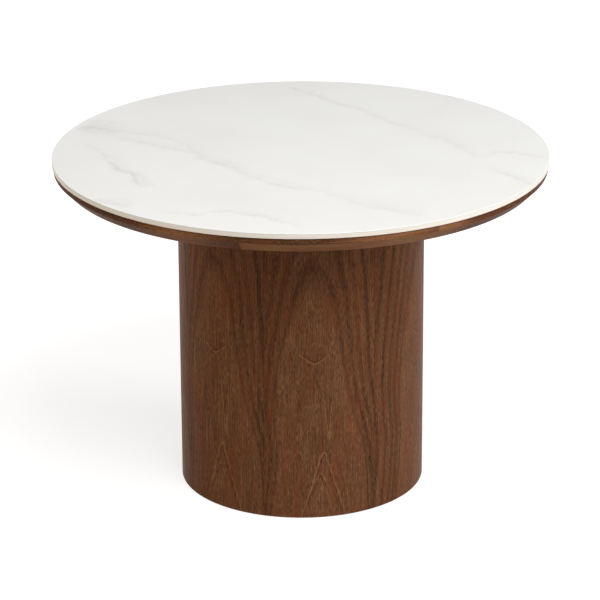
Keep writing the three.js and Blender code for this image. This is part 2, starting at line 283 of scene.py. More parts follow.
def turned(outline, steps, start=0.0, sweep=math.tau):
    """Mesh in progress of a closed outline of (radius, height) points, given anticlockwise and
    turned about Z. outline may be a function of the angle. A part turn gets flat ends."""
    shape = bmesh.new()
    whole = sweep == math.tau
    rings = []
    for step in range(steps if whole else steps + 1):
        angle = start + sweep * step / steps
        points = outline(angle) if callable(outline) else outline
        rings.append([
            shape.verts.new((radius * math.cos(angle), radius * math.sin(angle), height))
            for radius, height in points
        ])
    for step in range(steps):
        near, far = rings[step], rings[(step + 1) % len(rings)]
        for i in range(len(near)):
            j = (i + 1) % len(near)
            if near[i].co.xy.length > 0 or near[j].co.xy.length > 0:
                shape.faces.new((near[i], far[i], far[j], near[j]))
    if not whole:
        shape.faces.new(rings[0])
        shape.faces.new(reversed(rings[-1]))
    return shape


def eased(corners):
    """Closed outline from (x, y, ease) corners, each rounded by an arc of its ease. A point just
    before and after each arc keeps the shading of the flats flat."""
    outline = []
    for i, (x, y, ease) in enumerate(corners):
        corner = Vector((x, y))
        if not ease:
            outline.append(corner)
            continue
        back = (Vector(corners[i - 1][:2]) - corner).normalized()
        ahead = (Vector(corners[(i + 1) % len(corners)][:2]) - corner).normalized()
        half = back.angle(ahead) / 2
        reach = ease / math.tan(half)
        centre = corner + (back + ahead).normalized() * ease / math.sin(half)
        first = (corner + back * reach - centre).normalized()
        last = (corner + ahead * reach - centre).normalized()
        outline.append(corner + back * (reach + ease))
        for step in range(EASE_STEPS + 1):
            outline.append(centre + first.slerp(last, step / EASE_STEPS) * ease)
        outline.append(corner + ahead * (reach + ease))
    return [tuple(point) for point in outline]


def crease(mesh):
    """Shades a mesh smooth, with a visible edge where its faces meet sharply."""
    shape = bmesh.new()
    shape.from_mesh(mesh)
    for face in shape.faces:
        face.smooth = True
    for edge in shape.edges:
        edge.smooth = edge.calc_face_angle(math.pi) < SHARP
    shape.to_mesh(mesh)
    shape.free()


def new_piece(name, shape, material):
    """Object from a mesh in progress, its doubles merged and its faces pointing out."""
    bmesh.ops.remove_doubles(shape, verts=shape.verts, dist=1e-7)
    bmesh.ops.recalc_face_normals(shape, faces=shape.faces)
    mesh = bpy.data.meshes.new(name)
    shape.to_mesh(mesh)
    shape.free()
    crease(mesh)
    if material:
        mesh.materials.append(material)
    piece = bpy.data.objects.new(name, mesh)
    bpy.context.scene.collection.objects.link(piece)
    return piece


def made_plain(piece):
    """Turns a piece's evaluated modifiers into a plain mesh."""
    graph = bpy.context.evaluated_depsgraph_get()
    mesh = bpy.data.meshes.new_from_object(piece.evaluated_get(graph), depsgraph=graph)
    mesh.name = piece.name
    piece.modifiers.clear()
    piece.data = mesh
    crease(mesh)
    return piece


def cut(piece, cutters):
    """Cuts closed objects out of a piece and deletes them."""
    for cutter in cutters:
        modifier = piece.modifiers.new("Cut", "BOOLEAN")
        modifier.operation = "DIFFERENCE"
        modifier.solver = "EXACT"
        modifier.object = cutter
    made_plain(piece)
    for cutter in cutters:
        bpy.data.objects.remove(cutter)
    return piece


def moved(piece, place, turn=0.0):
    """Turns a piece about its own axis and then moves it, in its mesh."""
    piece.data.transform(Matrix.Translation(place) @ Matrix.Rotation(turn, 4, "Z"))
    return piece


def round_places(first, count):
    """Places spaced evenly round the table's axis from the first one on, each with its direction."""
    start = math.atan2(first.y, first.x)
    angles = [start + math.tau * i / count for i in range(count)]
    return [(first.length * Vector((math.cos(a), math.sin(a), 0)), a) for a in angles]


def grain_places(piece, place_of):
    """Stores on each vertex where it lies in its board, in millimetres: across the grain, through
    the board's thickness, and along the grain."""
    places = piece.data.attributes.new("grain", "FLOAT_VECTOR", "POINT")
    for vertex, place in zip(piece.data.vertices, places.data):
        place.vector = Vector(place_of(vertex.co)) / MM
    return piece


def settle(piece, body, slot, *nodes):
    """Says which body a piece rides on and the solids that it stands for. Its slot is not used."""
    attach(piece, body)
    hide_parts(*nodes)
    return piece


def numbered(name, count):
    """Names of a row of like solids."""
    return [f"{name}_{number}" for number in range(1, count + 1)]


# Geometry nodes

def new_geometry_tree(name, inputs):
    """Geometry tree with a piece going in and out, and the inputs named for each kind of socket."""
    tree = bpy.data.node_groups.new(name, "GeometryNodeTree")
    tree.interface.new_socket("Piece", in_out="INPUT", socket_type="NodeSocketGeometry")
    for kind, labels in inputs.items():
        for label in labels:
            tree.interface.new_socket(label, in_out="INPUT", socket_type=kind)
    tree.interface.new_socket("Result", in_out="OUTPUT", socket_type="NodeSocketGeometry")
    return tree, tree.nodes.new("NodeGroupInput").outputs


def end_geometry_tree(tree, result, material):
    """Ends a geometry tree in a mesh of its own with its material."""
    real = add(tree, "GeometryNodeRealizeInstances", (result,))
    finished = add(tree, "GeometryNodeSetMaterial", {"Geometry": real, "Material": material})
    add(tree, "NodeGroupOutput", (finished,))
    return tree


def run_tree(piece, tree, values):
    """Runs a geometry tree on a piece with the given values, and keeps the mesh that it makes."""
    modifier = piece.modifiers.new(tree.name, "NODES")
    modifier.node_group = tree
    for item in tree.interface.items_tree:
        if item.in_out == "INPUT" and item.name in values:
            modifier[item.identifier] = values[item.name]
    return made_plain(piece)


def round_pattern():
    """Tree that repeats a piece round the table's axis, each copy turned by chance a little."""
    tree, given = new_geometry_tree("Round Pattern", {
        "NodeSocketInt": ("Count", "Seed"),
        "NodeSocketFloat": ("Circle", "First Angle", "Level", "Chance Turn"),
        "NodeSocketMaterial": ("Material",),
    })
    index = add(tree, "GeometryNodeInputIndex")
    step = add(tree, "DIVIDE", (math.tau, given["Count"]))
    angle = add(tree, "MULTIPLY_ADD", (index, step, given["First Angle"]))
    cosine = add(tree, "COSINE", (angle,))
    sine = add(tree, "SINE", (angle,))
    direction = add(tree, "ShaderNodeCombineXYZ", (cosine, sine))
    reach = {0: direction, "Scale": given["Circle"]}
    outwards = add(tree, "ShaderNodeVectorMath", reach, operation="SCALE")
    raised = add(tree, "ShaderNodeCombineXYZ", {"Z": given["Level"]})
    place = add(tree, "ShaderNodeVectorMath", (outwards, raised), operation="ADD")
    points = add(tree, "GeometryNodePoints", {"Count": given["Count"], "Position": place})
    draw = {"ID": index, "Seed": given["Seed"]}
    chance = add(tree, "FunctionNodeRandomValue", draw, out=1, data_type="FLOAT")
    turn = add(tree, "MULTIPLY_ADD", (chance, given["Chance Turn"], angle))
    spin = add(tree, "ShaderNodeCombineXYZ", {"Z": turn})
    copying = {"Points": points, "Instance": given["Piece"], "Rotation": spin}
    copies = add(tree, "GeometryNodeInstanceOnPoints", copying)
    return end_geometry_tree(tree, copies, given["Material"])


def repeated(piece, material, count, place, level=0.0, chance_turn=0.0):
    """Copies of a piece round the axis, the first one at place."""
    tree = bpy.data.node_groups.get("Round Pattern") or round_pattern()
    return run_tree(piece, tree, {
        "Count": count,
        "Circle": place.length,
        "First Angle": math.atan2(place.y, place.x),
        "Level": float(level),
        "Chance Turn": float(chance_turn),
        "Seed": bpy.context.scene.table.hardware.turn_seed,
        "Material": material,
    })


def kerfed_board():
    """Tree that bends a board into a drum on saw kerfs. Each land between kerfs stays flat, and
    each kerf narrows towards its mouth."""
    tree, given = new_geometry_tree("Kerfed Board", {
        "NodeSocketInt": ("Kerfs",),
        "NodeSocketFloat": ("Outer Radius", "Inner Radius", "Level", "Height", "Kerf Depth", "Kerf Width"),
        "NodeSocketMaterial": ("Material",),
    })
    bore, depth = given["Inner Radius"], given["Kerf Depth"]
    index = add(tree, "GeometryNodeInputIndex")
    corners = add(tree, "MULTIPLY", (given["Kerfs"], 4))
    corner = add(tree, "FLOORED_MODULO", (index, 4))
    quarter = add(tree, "DIVIDE", (index, 4))
    land = add(tree, "FLOOR", (quarter,))
    step = add(tree, "DIVIDE", (math.tau, given["Kerfs"]))
    angle = add(tree, "MULTIPLY", (land, step))
    root = add(tree, "ADD", (bore, depth))
    half_step = add(tree, "MULTIPLY", (step, 0.5))
    tangent = add(tree, "TANGENT", (half_step,))
    pitch_half = add(tree, "MULTIPLY", (root, tangent))
    kerf_half = add(tree, "MULTIPLY", (given["Kerf Width"], 0.5))
    land_half = add(tree, "SUBTRACT", (pitch_half, kerf_half))
    # Each land has corners 0 to 3. Corners 1 and 2 are at the inner face, 2 and 3 on its left side
    from_middle = add(tree, "SUBTRACT", (corner, 1.5))
    off_middle = add(tree, "ABSOLUTE", (from_middle,))
    at_root = add(tree, "GREATER_THAN", (off_middle, 1))
    radius = add(tree, "MULTIPLY_ADD", (at_root, depth, bore))
    side = add(tree, "SIGN", (from_middle,))
    aside = add(tree, "MULTIPLY", (side, land_half))
    local = add(tree, "ShaderNodeCombineXYZ", (radius, aside))
    turning = {"Vector": local, "Angle": angle}
    place = add(tree, "ShaderNodeVectorRotate", turning, rotation_type="Z_AXIS")
    inner = add(tree, "GeometryNodeCurvePrimitiveCircle", {"Resolution": corners}, mode="RADIUS")
    inside = add(tree, "GeometryNodeSetPosition", {"Geometry": inner, "Position": place})
    drum = {"Resolution": ROUND_STEPS, "Radius": given["Outer Radius"]}
    outside = add(tree, "GeometryNodeCurvePrimitiveCircle", drum, mode="RADIUS")
    both = add(tree, "GeometryNodeJoinGeometry")
    tree.links.new(outside.outputs[0], both.inputs[0])
    tree.links.new(inside.outputs[0], both.inputs[0])
    filled = add(tree, "GeometryNodeFillCurve", {"Curve": both}, mode="TRIANGLES")
    raised = add(tree, "ShaderNodeCombineXYZ", {"Z": given["Height"]})
    growing = {"Mesh": filled, "Offset": raised, "Individual": False}
    walls = add(tree, "GeometryNodeExtrudeMesh", growing, mode="FACES")
    under = add(tree, "GeometryNodeFlipFaces", {"Mesh": filled})
    closed = add(tree, "GeometryNodeJoinGeometry")
    tree.links.new(walls.outputs["Mesh"], closed.inputs[0])
    tree.links.new(under.outputs[0], closed.inputs[0])
    merged = add(tree, "GeometryNodeMergeByDistance", {"Geometry": closed, "Distance": 1e-6})
    level = add(tree, "ShaderNodeCombineXYZ", {"Z": given["Level"]})
    lifted = add(tree, "GeometryNodeTransform", {"Geometry": merged, "Translation": level})
    return end_geometry_tree(tree, lifted, given["Material"])


# Materials

def add(tree, kind, inputs=(), out=None, stops=(), curve=(), **settings):
    """Adds a node with its settings, and fills or links its inputs, given in order or by name. A
    kind in capitals is what a Math node works out. A node given as an input stands for its first
    output. stops fill a colour ramp with hex values or colours, and curve fills a float curve. out
    picks the socket to return instead of the node."""
    if kind.isupper():
        kind, settings["operation"] = "ShaderNodeMath", kind
    added = tree.nodes.new(kind)
    for name, value in settings.items():
        setattr(added, name, value)
    for key, value in inputs.items() if isinstance(inputs, dict) else enumerate(inputs):
        source = value.outputs[0] if isinstance(value, bpy.types.Node) else value
        if isinstance(source, bpy.types.NodeSocket):
            tree.links.new(source, added.inputs[key])
        else:
            added.inputs[key].default_value = source
    if stops:
        elements = added.color_ramp.elements
        elements.remove(elements[1])
        elements[0].position = stops[0][0]
        for number, (position, colour) in enumerate(stops):
            stop = elements.new(position) if number else elements[0]
            stop.color = linear(colour) if isinstance(colour, str) else colour
    if curve:
        points = added.mapping.curves[0].points
        points[0].location, points[1].location = curve[0], curve[-1]
        for place in curve[1:-1]:
            points.new(*place)
        added.mapping.update()
    return added if out is None else added.outputs[out]


def new_material(name):
    """An empty material and its tree."""
    material = bpy.data.materials.new(name)
    material.use_nodes = True
    material.node_tree.nodes.clear()
    return material, material.node_tree


def material_of(finish):
    """The material named for a finish, made the first time that it is asked for. The finish is a
    function that gives the surface's inputs."""
    if finish.__name__ in bpy.data.materials:
        return bpy.data.materials[finish.__name__]
    material, tree = new_material(finish.__name__)
    surface = add(tree, "ShaderNodeBsdfPrincipled", finish(tree))
    add(tree, "ShaderNodeOutputMaterial", {"Surface": surface})
    return material


def place_in_mm(tree):
    """Object coordinates in millimetres."""
    coords = add(tree, "ShaderNodeTexCoord", out="Object")
    return add(tree, "ShaderNodeVectorMath", {0: coords, "Scale": 1 / MM}, operation="SCALE")


def figure(tree, place, size, detail=2.0, roughness=0.5):
    """Noise from -0.5 to 0.5 whose features have the given size along each axis."""
    squeezed = add(tree, "ShaderNodeVectorMath", (place, [1 / s for s in size]), operation="MULTIPLY")
    pattern = {"Vector": squeezed, "Scale": 1.0, "Detail": detail, "Roughness": roughness}
    noise = add(tree, "ShaderNodeTexNoise", pattern)
    return add(tree, "SUBTRACT", (noise, 0.5))


# Veins of the slab: path in millimetres from its middle, strength at shares of the path, and width
VEINS = (
    (
        (
            (-412, 156), (-340, 128), (-290, 95), (-255, 55), (-235, 5), (-213, -50), (-160, -100),
            (-110, -172), (-65, -220), (-12, -254), (40, -276), (90, -320), (140, -370),
            (190, -402), (262, -442),
        ),
        (
            (0, 0.3), (0.3, 0.4), (0.37, 0.65), (0.5, 0.35), (0.62, 0.5), (0.66, 0.4), (0.75, 0.25),
            (0.9, 0.45), (1, 0),
        ),
        15,
    ),
    (((-500, 190), (-460, 170), (-400, 146)), ((0, 0.2), (0.35, 0.95), (0.6, 0.7), (1, 0)), 34),
    (
        ((-425, 120), (-390, 92), (-330, 58), (-280, 22), (-232, -12)),
        ((0, 0), (0.4, 0.45), (1, 0.2)), 13,
    ),
    (
        (
            (-484, 92), (-470, 40), (-440, 0), (-432, -30), (-410, -82), (-402, -116),
            (-370, -150), (-356, -190), (-340, -246),
        ),
        ((0, 0.1), (0.4, 0.55), (0.6, 0.8), (0.8, 1), (0.93, 1), (1, 0)), 12,
    ),
    (((-432, -325), (-395, -350), (-360, -380)), ((0, 0), (0.4, 0.75), (1, 0)), 16),
    (
        (
            (-330, -390), (-250, -418), (-210, -430), (-188, -408), (-160, -406), (-120, -424),
            (-80, -440), (-35, -478), (20, -512),
        ),
        ((0, 0), (0.35, 0.45), (0.55, 0.65), (0.8, 0.5), (1, 0)), 8,
    ),
    (
        (
            (-22, 494), (5, 460), (50, 410), (80, 366), (130, 324), (165, 275), (200, 216),
            (240, 180), (268, 146),
        ),
        ((0, 0.3), (0.3, 0.62), (0.6, 0.55), (0.9, 0.4), (1, 0)), 7,
    ),
    (
        ((268, 146), (292, 110), (322, 78), (350, 28), (380, -28), (404, -52)),
        ((0, 0), (0.4, 0.36), (0.8, 0.32), (1, 0)), 13,
    ),
    (
        ((402, -52), (430, -16), (462, -14), (512, -40), (545, -64)),
        ((0, 0.1), (0.4, 0.6), (1, 0.2)), 8,
    ),
    (((398, -108), (440, -160), (486, -228), (510, -260)), ((0, 0), (0.5, 0.5), (1, 0.3)), 11),
)
VEIN_STRAY = 160  # how far in millimetres a path may leave the line between its ends
# Core and halo of a vein: shift to its side and reach, in widths, and darkness
VEIN_LAYERS = ((0, 1, 0.6), (0.8, 2.6, 0.45))
# How far in millimetres the veins wander off their paths, and how long each wander is
VEIN_WANDER = 42
WANDER_LENGTH = 34
# Sizes in millimetres of the clouds that break the veins, the haze, the specks and the grit
CLOUD_SIZE = (22, 22, 22)
HAZE_SIZE = (210, 210, 210)
SPECK_SIZE = (1.5, 1.5, 1.5)
GRIT_SIZE = (0.8, 0.8, 0.8)
# Contrast and middle of what those patterns make
CLOUD_TONE = (4.2, 0.85)
SPECK_TONE = (0.12, 0.03)
STONE_ROUGHNESS = (0.1, 0.42)
# Over the edge's height, in arrises below the face: a darker grey line comes in, then the face
# colour does, which runs down over the arris as a painted highlight
EDGE_LINE_SHARES = (2.4, 1.6)
FACE_SHARES = (0.8, 0.1)


def vein(tree, place, path, strengths, width):
    """Darkness from 0 to 1 of one vein: a dark core with a wider halo on one side."""
    start, end = Vector(path[0]), Vector(path[-1])
    length = (end - start).length
    ahead = (end - start) / length
    aside = Vector((-ahead.y, ahead.x))
    steps = [Vector(point) - start for point in path]
    course = [(step.dot(ahead) / length, 0.5 + step.dot(aside) / VEIN_STRAY / 2) for step in steps]
    local = add(tree, "ShaderNodeVectorMath", (place, (*start, 0)), operation="SUBTRACT")
    along = (local, (*ahead / length, 0))
    share = add(tree, "ShaderNodeVectorMath", along, out="Value", operation="DOT_PRODUCT")
    across = (local, (*aside, 0))
    offset = add(tree, "ShaderNodeVectorMath", across, out="Value", operation="DOT_PRODUCT")
    middle = add(tree, "ShaderNodeFloatCurve", {"Value": share}, curve=course)
    line = add(tree, "MULTIPLY_ADD", (middle, 2 * VEIN_STRAY, -VEIN_STRAY))
    stray = add(tree, "SUBTRACT", (offset, line))
    dark = 0.0
    for shift, reach, depth in VEIN_LAYERS:
        shifted = add(tree, "SUBTRACT", (stray, shift * width))
        far = add(tree, "ABSOLUTE", (shifted,))
        fade = (far, 0.0, reach * width, depth, 0.0)
        shade = add(tree, "ShaderNodeMapRange", fade, interpolation_type="SMOOTHERSTEP")
        dark = add(tree, "ADD", (shade, dark))
    strength = add(tree, "ShaderNodeFloatCurve", {"Value": share}, curve=strengths)
    within = add(tree, "COMPARE", (share, 0.5, 0.5))
    shown = add(tree, "MULTIPLY", (strength, within))
    return add(tree, "MULTIPLY", (dark, shown))


def veined_sintered_stone(tree):
    """Sintered stone: a pressed and fired mineral slab with a honed, printed face. It looks off-white
    and satin with soft grey veins, and its edge shows the cream body."""
    settings = bpy.context.scene.table.stone
    place = place_in_mm(tree)

    wandering = {"Vector": place, "Scale": 1 / WANDER_LENGTH, "Detail": 6.0, "Roughness": 0.68}
    wander = add(tree, "ShaderNodeTexNoise", wandering, out="Color")
    centred = add(tree, "ShaderNodeVectorMath", (wander, (0.5, 0.5, 0.5)), operation="SUBTRACT")
    drift = (centred, (VEIN_WANDER, VEIN_WANDER, 0), place)
    strayed = add(tree, "ShaderNodeVectorMath", drift, operation="MULTIPLY_ADD")
    dark = 0.0
    for rule in VEINS:
        dark = add(tree, "ADD", (vein(tree, strayed, *rule), dark))
    cloud = figure(tree, place, CLOUD_SIZE, detail=6.0, roughness=0.75)
    patches = add(tree, "MULTIPLY_ADD", (cloud, *CLOUD_TONE))
    broken = add(tree, "MULTIPLY", (dark, patches), use_clamp=True)
    shown = add(tree, "MULTIPLY", (broken, settings.vein_strength))

    mist = figure(tree, place, HAZE_SIZE, detail=3.0)
    haze = add(tree, "ADD", (mist, 0.5))
    ground = add(tree, "ShaderNodeValToRGB", (haze,), stops=((0.3, settings.haze), (0.6, settings.face)))
    face = add(tree, "ShaderNodeMix", {0: shown, 6: ground, 7: settings.vein}, out=2, data_type="RGBA")
    speck = figure(tree, place, SPECK_SIZE)
    speckled = add(tree, "MULTIPLY_ADD", (speck, *SPECK_TONE))
    body = {0: speckled, 6: settings.body, 7: settings.vein}
    colour = add(tree, "ShaderNodeMix", body, out=2, data_type="RGBA")
    # From the body to the darker grey line, which reaches the foot of the arris, and from that to the
    # face colour, which covers the rest of the arris as a painted highlight
    level = add(tree, "ShaderNodeSeparateXYZ", (place,), out="Z")
    top, arris = STONE_HIGH.z / MM, settings.top_arris / MM
    for shares, upper in ((EDGE_LINE_SHARES, settings.glaze), (FACE_SHARES, face)):
        low, high = (top - drop * arris for drop in shares)
        share = add(tree, "ShaderNodeMapRange", (level, low, high))
        colour = add(tree, "ShaderNodeMix", {0: share, 6: colour, 7: upper}, out=2, data_type="RGBA")
    grit = figure(tree, place, GRIT_SIZE, detail=3.0)
    tooth = {"Height": grit, "Strength": 0.04, "Distance": 0.05 * MM}
    return {
        "Base Color": colour,
        "Roughness": add(tree, "MULTIPLY_ADD", (grit, *STONE_ROUGHNESS)),
        "Normal": add(tree, "ShaderNodeBump", tooth, out="Normal"),
        "IOR": 1.54,
        "Specular IOR Level": 0.4,
    }


# Tone of the growth rings, over shares of the widest ring. The dark dips are the strong rings in
# the leaf's flanks
RING_TONES = (
    (0, 0.5), (0.25, 0.5), (0.3, 0.45), (0.33, 0.54), (0.4, 0.49), (0.48, 0.53), (0.54, 0.57),
    (0.56, 0.5), (0.572, 0.3), (0.585, 0.52), (0.605, 0.56), (0.625, 0.4), (0.642, 0.3),
    (0.66, 0.52), (0.675, 0.58), (0.695, 0.36), (0.71, 0.33), (0.73, 0.54), (0.76, 0.58),
    (0.785, 0.5), (0.803, 0.25), (0.82, 0.5), (0.86, 0.58), (0.9, 0.5), (0.925, 0.3), (0.95, 0.5),
    (1, 0.52),
)
WIDEST_RING = 200
# Tone across one growth ring of the even kind, from its inner to its outer edge
RING_PROFILE = ((0, 0.6), (0.1, 0.57), (0.35, 0.52), (0.7, 0.46), (0.9, 0.3), (0.97, 0.32), (1, 0.58))
# Where the crown's middle wanders across the leaf, over shares of the drum's height, in shares of
# its stray in millimetres either way
CROWN_COURSE = ((0, 0.6), (0.21, 0.63), (0.3, 0.45), (0.44, 0.27), (0.6, 0.3), (0.74, 0.35), (1, 0.4))
CROWN_STRAY = 30
# Marks in each leaf, in millimetres: place across from the crown and up from the floor, how far
# the legs drop for each millimetre aside, width of the round tip, length, and strength
LEAF_MARKS = (
    (12, 157, 3.3, 3, 230, 1.0),
    (5, 107, 2.2, 3, 70, 0.8),
    (-45, 159, 2.0, 4, 26, 0.6),
    (38, 148, -1.5, 3, 14, 0.5),
    (-8, 368, -0.9, 9, 30, 1.0),
    (-9, 416, 1.6, 2, 14, 0.5),
    (22, 193, -11.0, 1.0, 160, 0.7),
)
# Tone across a mark's line, from its reach in millimetres inside to the same outside
MARK_PROFILE = ((0, 0.5), (0.3, 0.38), (0.42, 0.3), (0.5, 1), (0.58, 0.55), (0.7, 0.5), (1, 0.5))
MARK_REACH = 12
MARK_FULL_SHARE = 0.3  # of a mark's length, on which it hasn't begun to fade
# Sizes in millimetres of what bends the rings of a leaf, across, through and along the grain, and
# how far each bends them: the comb of the fibres, the sway, the wobble and the marks' ripple
COMB_SIZE, COMB_REACH = (1.8, 1.8, 45), 24
SWAY_SIZE, SWAY_REACH = (150, 150, 330), 14
WOBBLE_SIZE, WOBBLE_REACH = (34, 34, 70), 8
RIPPLE_SIZE, RIPPLE_REACH = (9, 9, 16), 9
# Size of the gaps in the marks, and their contrast and middle
BREAK_SIZE = (12, 12, 12)
BREAK_TONE = (2.4, 0.9)
# Distance from the pith at the crown: this rate times this power of the height
CLIMB_RATE = 3.2
CLIMB_POWER = 0.56
# Where each leaf darkens towards its seams, in millimetres from its crown, and by how much
SEAM_SHADE = (80.0, 122.0, 0.0, -0.1)
# Where the planks are paler: the middle of each patch along the grain and its reach, in millimetres
PALE_PATCHES = ((110, 165), (716, 90), (6370, 150))
PALE_TONE = 0.47
DRIFT_SIZE, DRIFT_REACH = (60, 60, 500), 22  # of the rings in a plank
# How far in millimetres the planks were sawn from the pith, and their tones below and above the
# upper edge of the bevel. Below it the tone is raised with painted light, as if bounced up from the
# floor onto the bevel's downward face
PITH_PLACE = (35, 120, 0)
BEVEL_TONE_AND_PAINTED_BOUNCE = 0.49
BAND_TONE = -0.23
# Sizes in millimetres of the walnut's features, across, through and along the grain
BAND_WIDTH = 22
JITTER_SIZE, JITTER_REACH = (12, 12, 60), 0.35  # the reach in rings
STREAK_SIZE = (7, 7, 260)
FIBRE_SIZE = (1.2, 1.2, 80)
FLECK_SIZE = (0.95, 0.95, 11)
FLUSH_SIZE = (20, 20, 190)
PORE_SIZE = (0.8, 0.8, 12)
# The wood's tone without its figure, and how strongly the bands, the lines of the even rings, the
# strong rings, the streaks, the fibres and the flecks change it
PLAIN_TONE = 0.53
TONE_WEIGHTS = (0.25, 0.11, 0.6, 0.08, 0.58, 0.84)
# Where the red comes in and how much of it, where a pore begins and how dark it is, and the
# roughness in the pores over that of the lacquer
FLUSH_RANGE = (-0.12, 0.26, 0.0, 0.55)
PORE_RANGE = (0.08, 0.2)
PORE_SHADE = 0.5
WALNUT_ROUGHNESS = (0.2, 0.42)
# Sizes in millimetres of the patterns of the other materials, and what each adds to the tone or
# the roughness
FELT_SIZE, FELT_WEIGHT = (1.2, 1.2, 0.5), 0.7
FELT_PATCH_SIZE, FELT_PATCH_WEIGHT = (40, 40, 40), 0.4
FELT_TONE = 0.5
PLY_THICKNESS, PLY_WEIGHT = 1.4, 0.22
SWIRL_SIZE, SWIRL_WEIGHT = (90, 14, 90), 0.5
PLY_FIBRE_SIZE, PLY_FIBRE_WEIGHT = (30, 0.9, 3), 0.3
PLY_TONE = 0.35
PINE_RING = 3.6
PINE_SWAY_SIZE, PINE_SWAY_REACH = (40, 40, 300), 14
PINE_FIBRE_SIZE, PINE_FIBRE_WEIGHT = (0.8, 0.8, 50), 0.35
SKIN_SIZE = (4, 4, 4)
ZINC_CLOUD_SIZE, ZINC_ROUGHNESS = (6, 6, 6), (0.25, 0.34)
SPARK_SIZE, NYLON_ROUGHNESS = (0.35, 0.35, 0.35), (0.2, 0.5)


def leaf_mark(tree, across, along, broken, left, low, drop, tip, length, strength):
    """Tone from -0.5 to 0.5 of one pointed mark, where the knife grazed a wave in the grain: a
    light line with a dark inner side, that fades down its legs."""
    aside = add(tree, "SUBTRACT", (across, left))
    square = add(tree, "MULTIPLY_ADD", (aside, aside, tip * tip))
    arm = add(tree, "SQRT", (square,))
    above = add(tree, "SUBTRACT", (along, low + drop * tip))
    off = add(tree, "MULTIPLY_ADD", (arm, drop, above))
    share = add(tree, "DIVIDE", (aside, arm))
    steep = add(tree, "MULTIPLY_ADD", (share, share, 1 / drop ** 2))
    slope = add(tree, "SQRT", (steep,))
    reach = add(tree, "MULTIPLY", (slope, MARK_REACH * 2 * drop))
    near = add(tree, "DIVIDE", (off, reach))
    middle = add(tree, "ADD", (near, 0.5), use_clamp=True)
    line = add(tree, "ShaderNodeFloatCurve", {"Value": middle}, curve=MARK_PROFILE)
    tone = add(tree, "SUBTRACT", (line, 0.5))
    down = add(tree, "SUBTRACT", (along, low))
    far = add(tree, "ABSOLUTE", (down,))
    fade = add(tree, "ShaderNodeMapRange", (far, MARK_FULL_SHARE * length, length, strength, 0.0))
    shown = add(tree, "MULTIPLY", (broken, fade))
    return add(tree, "MULTIPLY", (tone, shown))


def crown_rings(tree, grain):
    """Distance from the pith in millimetres on a crown cut leaf, and the leaf's marks. The knife
    runs closer to the pith at the leaf's foot, so the rings make nested arches there and part into
    upright streaks."""
    parts = add(tree, "ShaderNodeSeparateXYZ", (grain,))
    across, up = parts.outputs["X"], parts.outputs["Z"]
    # The fibres draw the rings out where these run across them
    combed = figure(tree, grain, COMB_SIZE)
    along = add(tree, "MULTIPLY_ADD", (combed, COMB_REACH, up))
    share = add(tree, "DIVIDE", (along, VENEER_HIGH.z / MM), use_clamp=True)
    course = add(tree, "ShaderNodeFloatCurve", {"Value": share}, curve=CROWN_COURSE)
    stray = (course, 2 * CROWN_STRAY, -CROWN_STRAY)
    middle = add(tree, "MULTIPLY_ADD", stray)
    offset = add(tree, "SUBTRACT", (across, middle))
    sway = figure(tree, grain, SWAY_SIZE)
    aside = add(tree, "MULTIPLY_ADD", (sway, SWAY_REACH, offset))
    height = add(tree, "MAXIMUM", (along, 1.0))
    climb = add(tree, "POWER", (height, CLIMB_POWER))
    steady = add(tree, "MULTIPLY", (climb, CLIMB_RATE))
    wobble = figure(tree, grain, WOBBLE_SIZE, detail=3.0)
    depth = add(tree, "MULTIPLY_ADD", (wobble, WOBBLE_REACH, steady))
    both = add(tree, "ShaderNodeCombineXYZ", (aside, depth))
    ring = add(tree, "ShaderNodeVectorMath", (both,), out="Value", operation="LENGTH")
    tremble = figure(tree, grain, RIPPLE_SIZE, detail=3.0)
    ripple = add(tree, "MULTIPLY_ADD", (tremble, RIPPLE_REACH, across))
    gaps = (figure(tree, grain, BREAK_SIZE), *BREAK_TONE)
    broken = add(tree, "MULTIPLY_ADD", gaps, use_clamp=True)
    far = add(tree, "ABSOLUTE", (across,))
    tone = add(tree, "ShaderNodeMapRange", (far, *SEAM_SHADE), interpolation_type="SMOOTHSTEP")
    for rule in LEAF_MARKS:
        mark = leaf_mark(tree, ripple, up, broken, *rule)
        tone = add(tree, "ADD", (mark, tone))
    return ring, tone


def plank_rings(tree, grain):
    """Distance from the pith in millimetres in a plank sawn well off the pith, which gives long,
    nearly straight streaks, and its tone: darker on the upright band near the slab, lighter on the
    bevel with painted light bounced up from the floor, and paler in patches."""
    shifted = add(tree, "ShaderNodeVectorMath", (grain, PITH_PLACE), operation="ADD")
    flat = add(tree, "ShaderNodeVectorMath", (shifted, (1, 1, 0)), operation="MULTIPLY")
    far = add(tree, "ShaderNodeVectorMath", (flat,), out="Value", operation="LENGTH")
    slow = figure(tree, grain, DRIFT_SIZE)
    ring = add(tree, "MULTIPLY_ADD", (slow, DRIFT_REACH, far))
    parts = add(tree, "ShaderNodeSeparateXYZ", (grain,))
    depth, along = parts.outputs["Y"], parts.outputs["Z"]
    corner = RIM_CHAMFER / MM
    # The bevel below this edge is painted lighter, as light bounced up from the floor
    tone = add(tree, "ShaderNodeMapRange", (depth, corner - 0.5, corner + 0.5, BEVEL_TONE_AND_PAINTED_BOUNCE, BAND_TONE))
    for middle, reach in PALE_PATCHES:
        aside = add(tree, "SUBTRACT", (along, middle))
        away = add(tree, "ABSOLUTE", (aside,))
        fade = (away, 0.0, reach, PALE_TONE, 0.0)
        pale = add(tree, "ShaderNodeMapRange", fade, interpolation_type="SMOOTHSTEP")
        tone = add(tree, "ADD", (pale, tone))
    return ring, tone


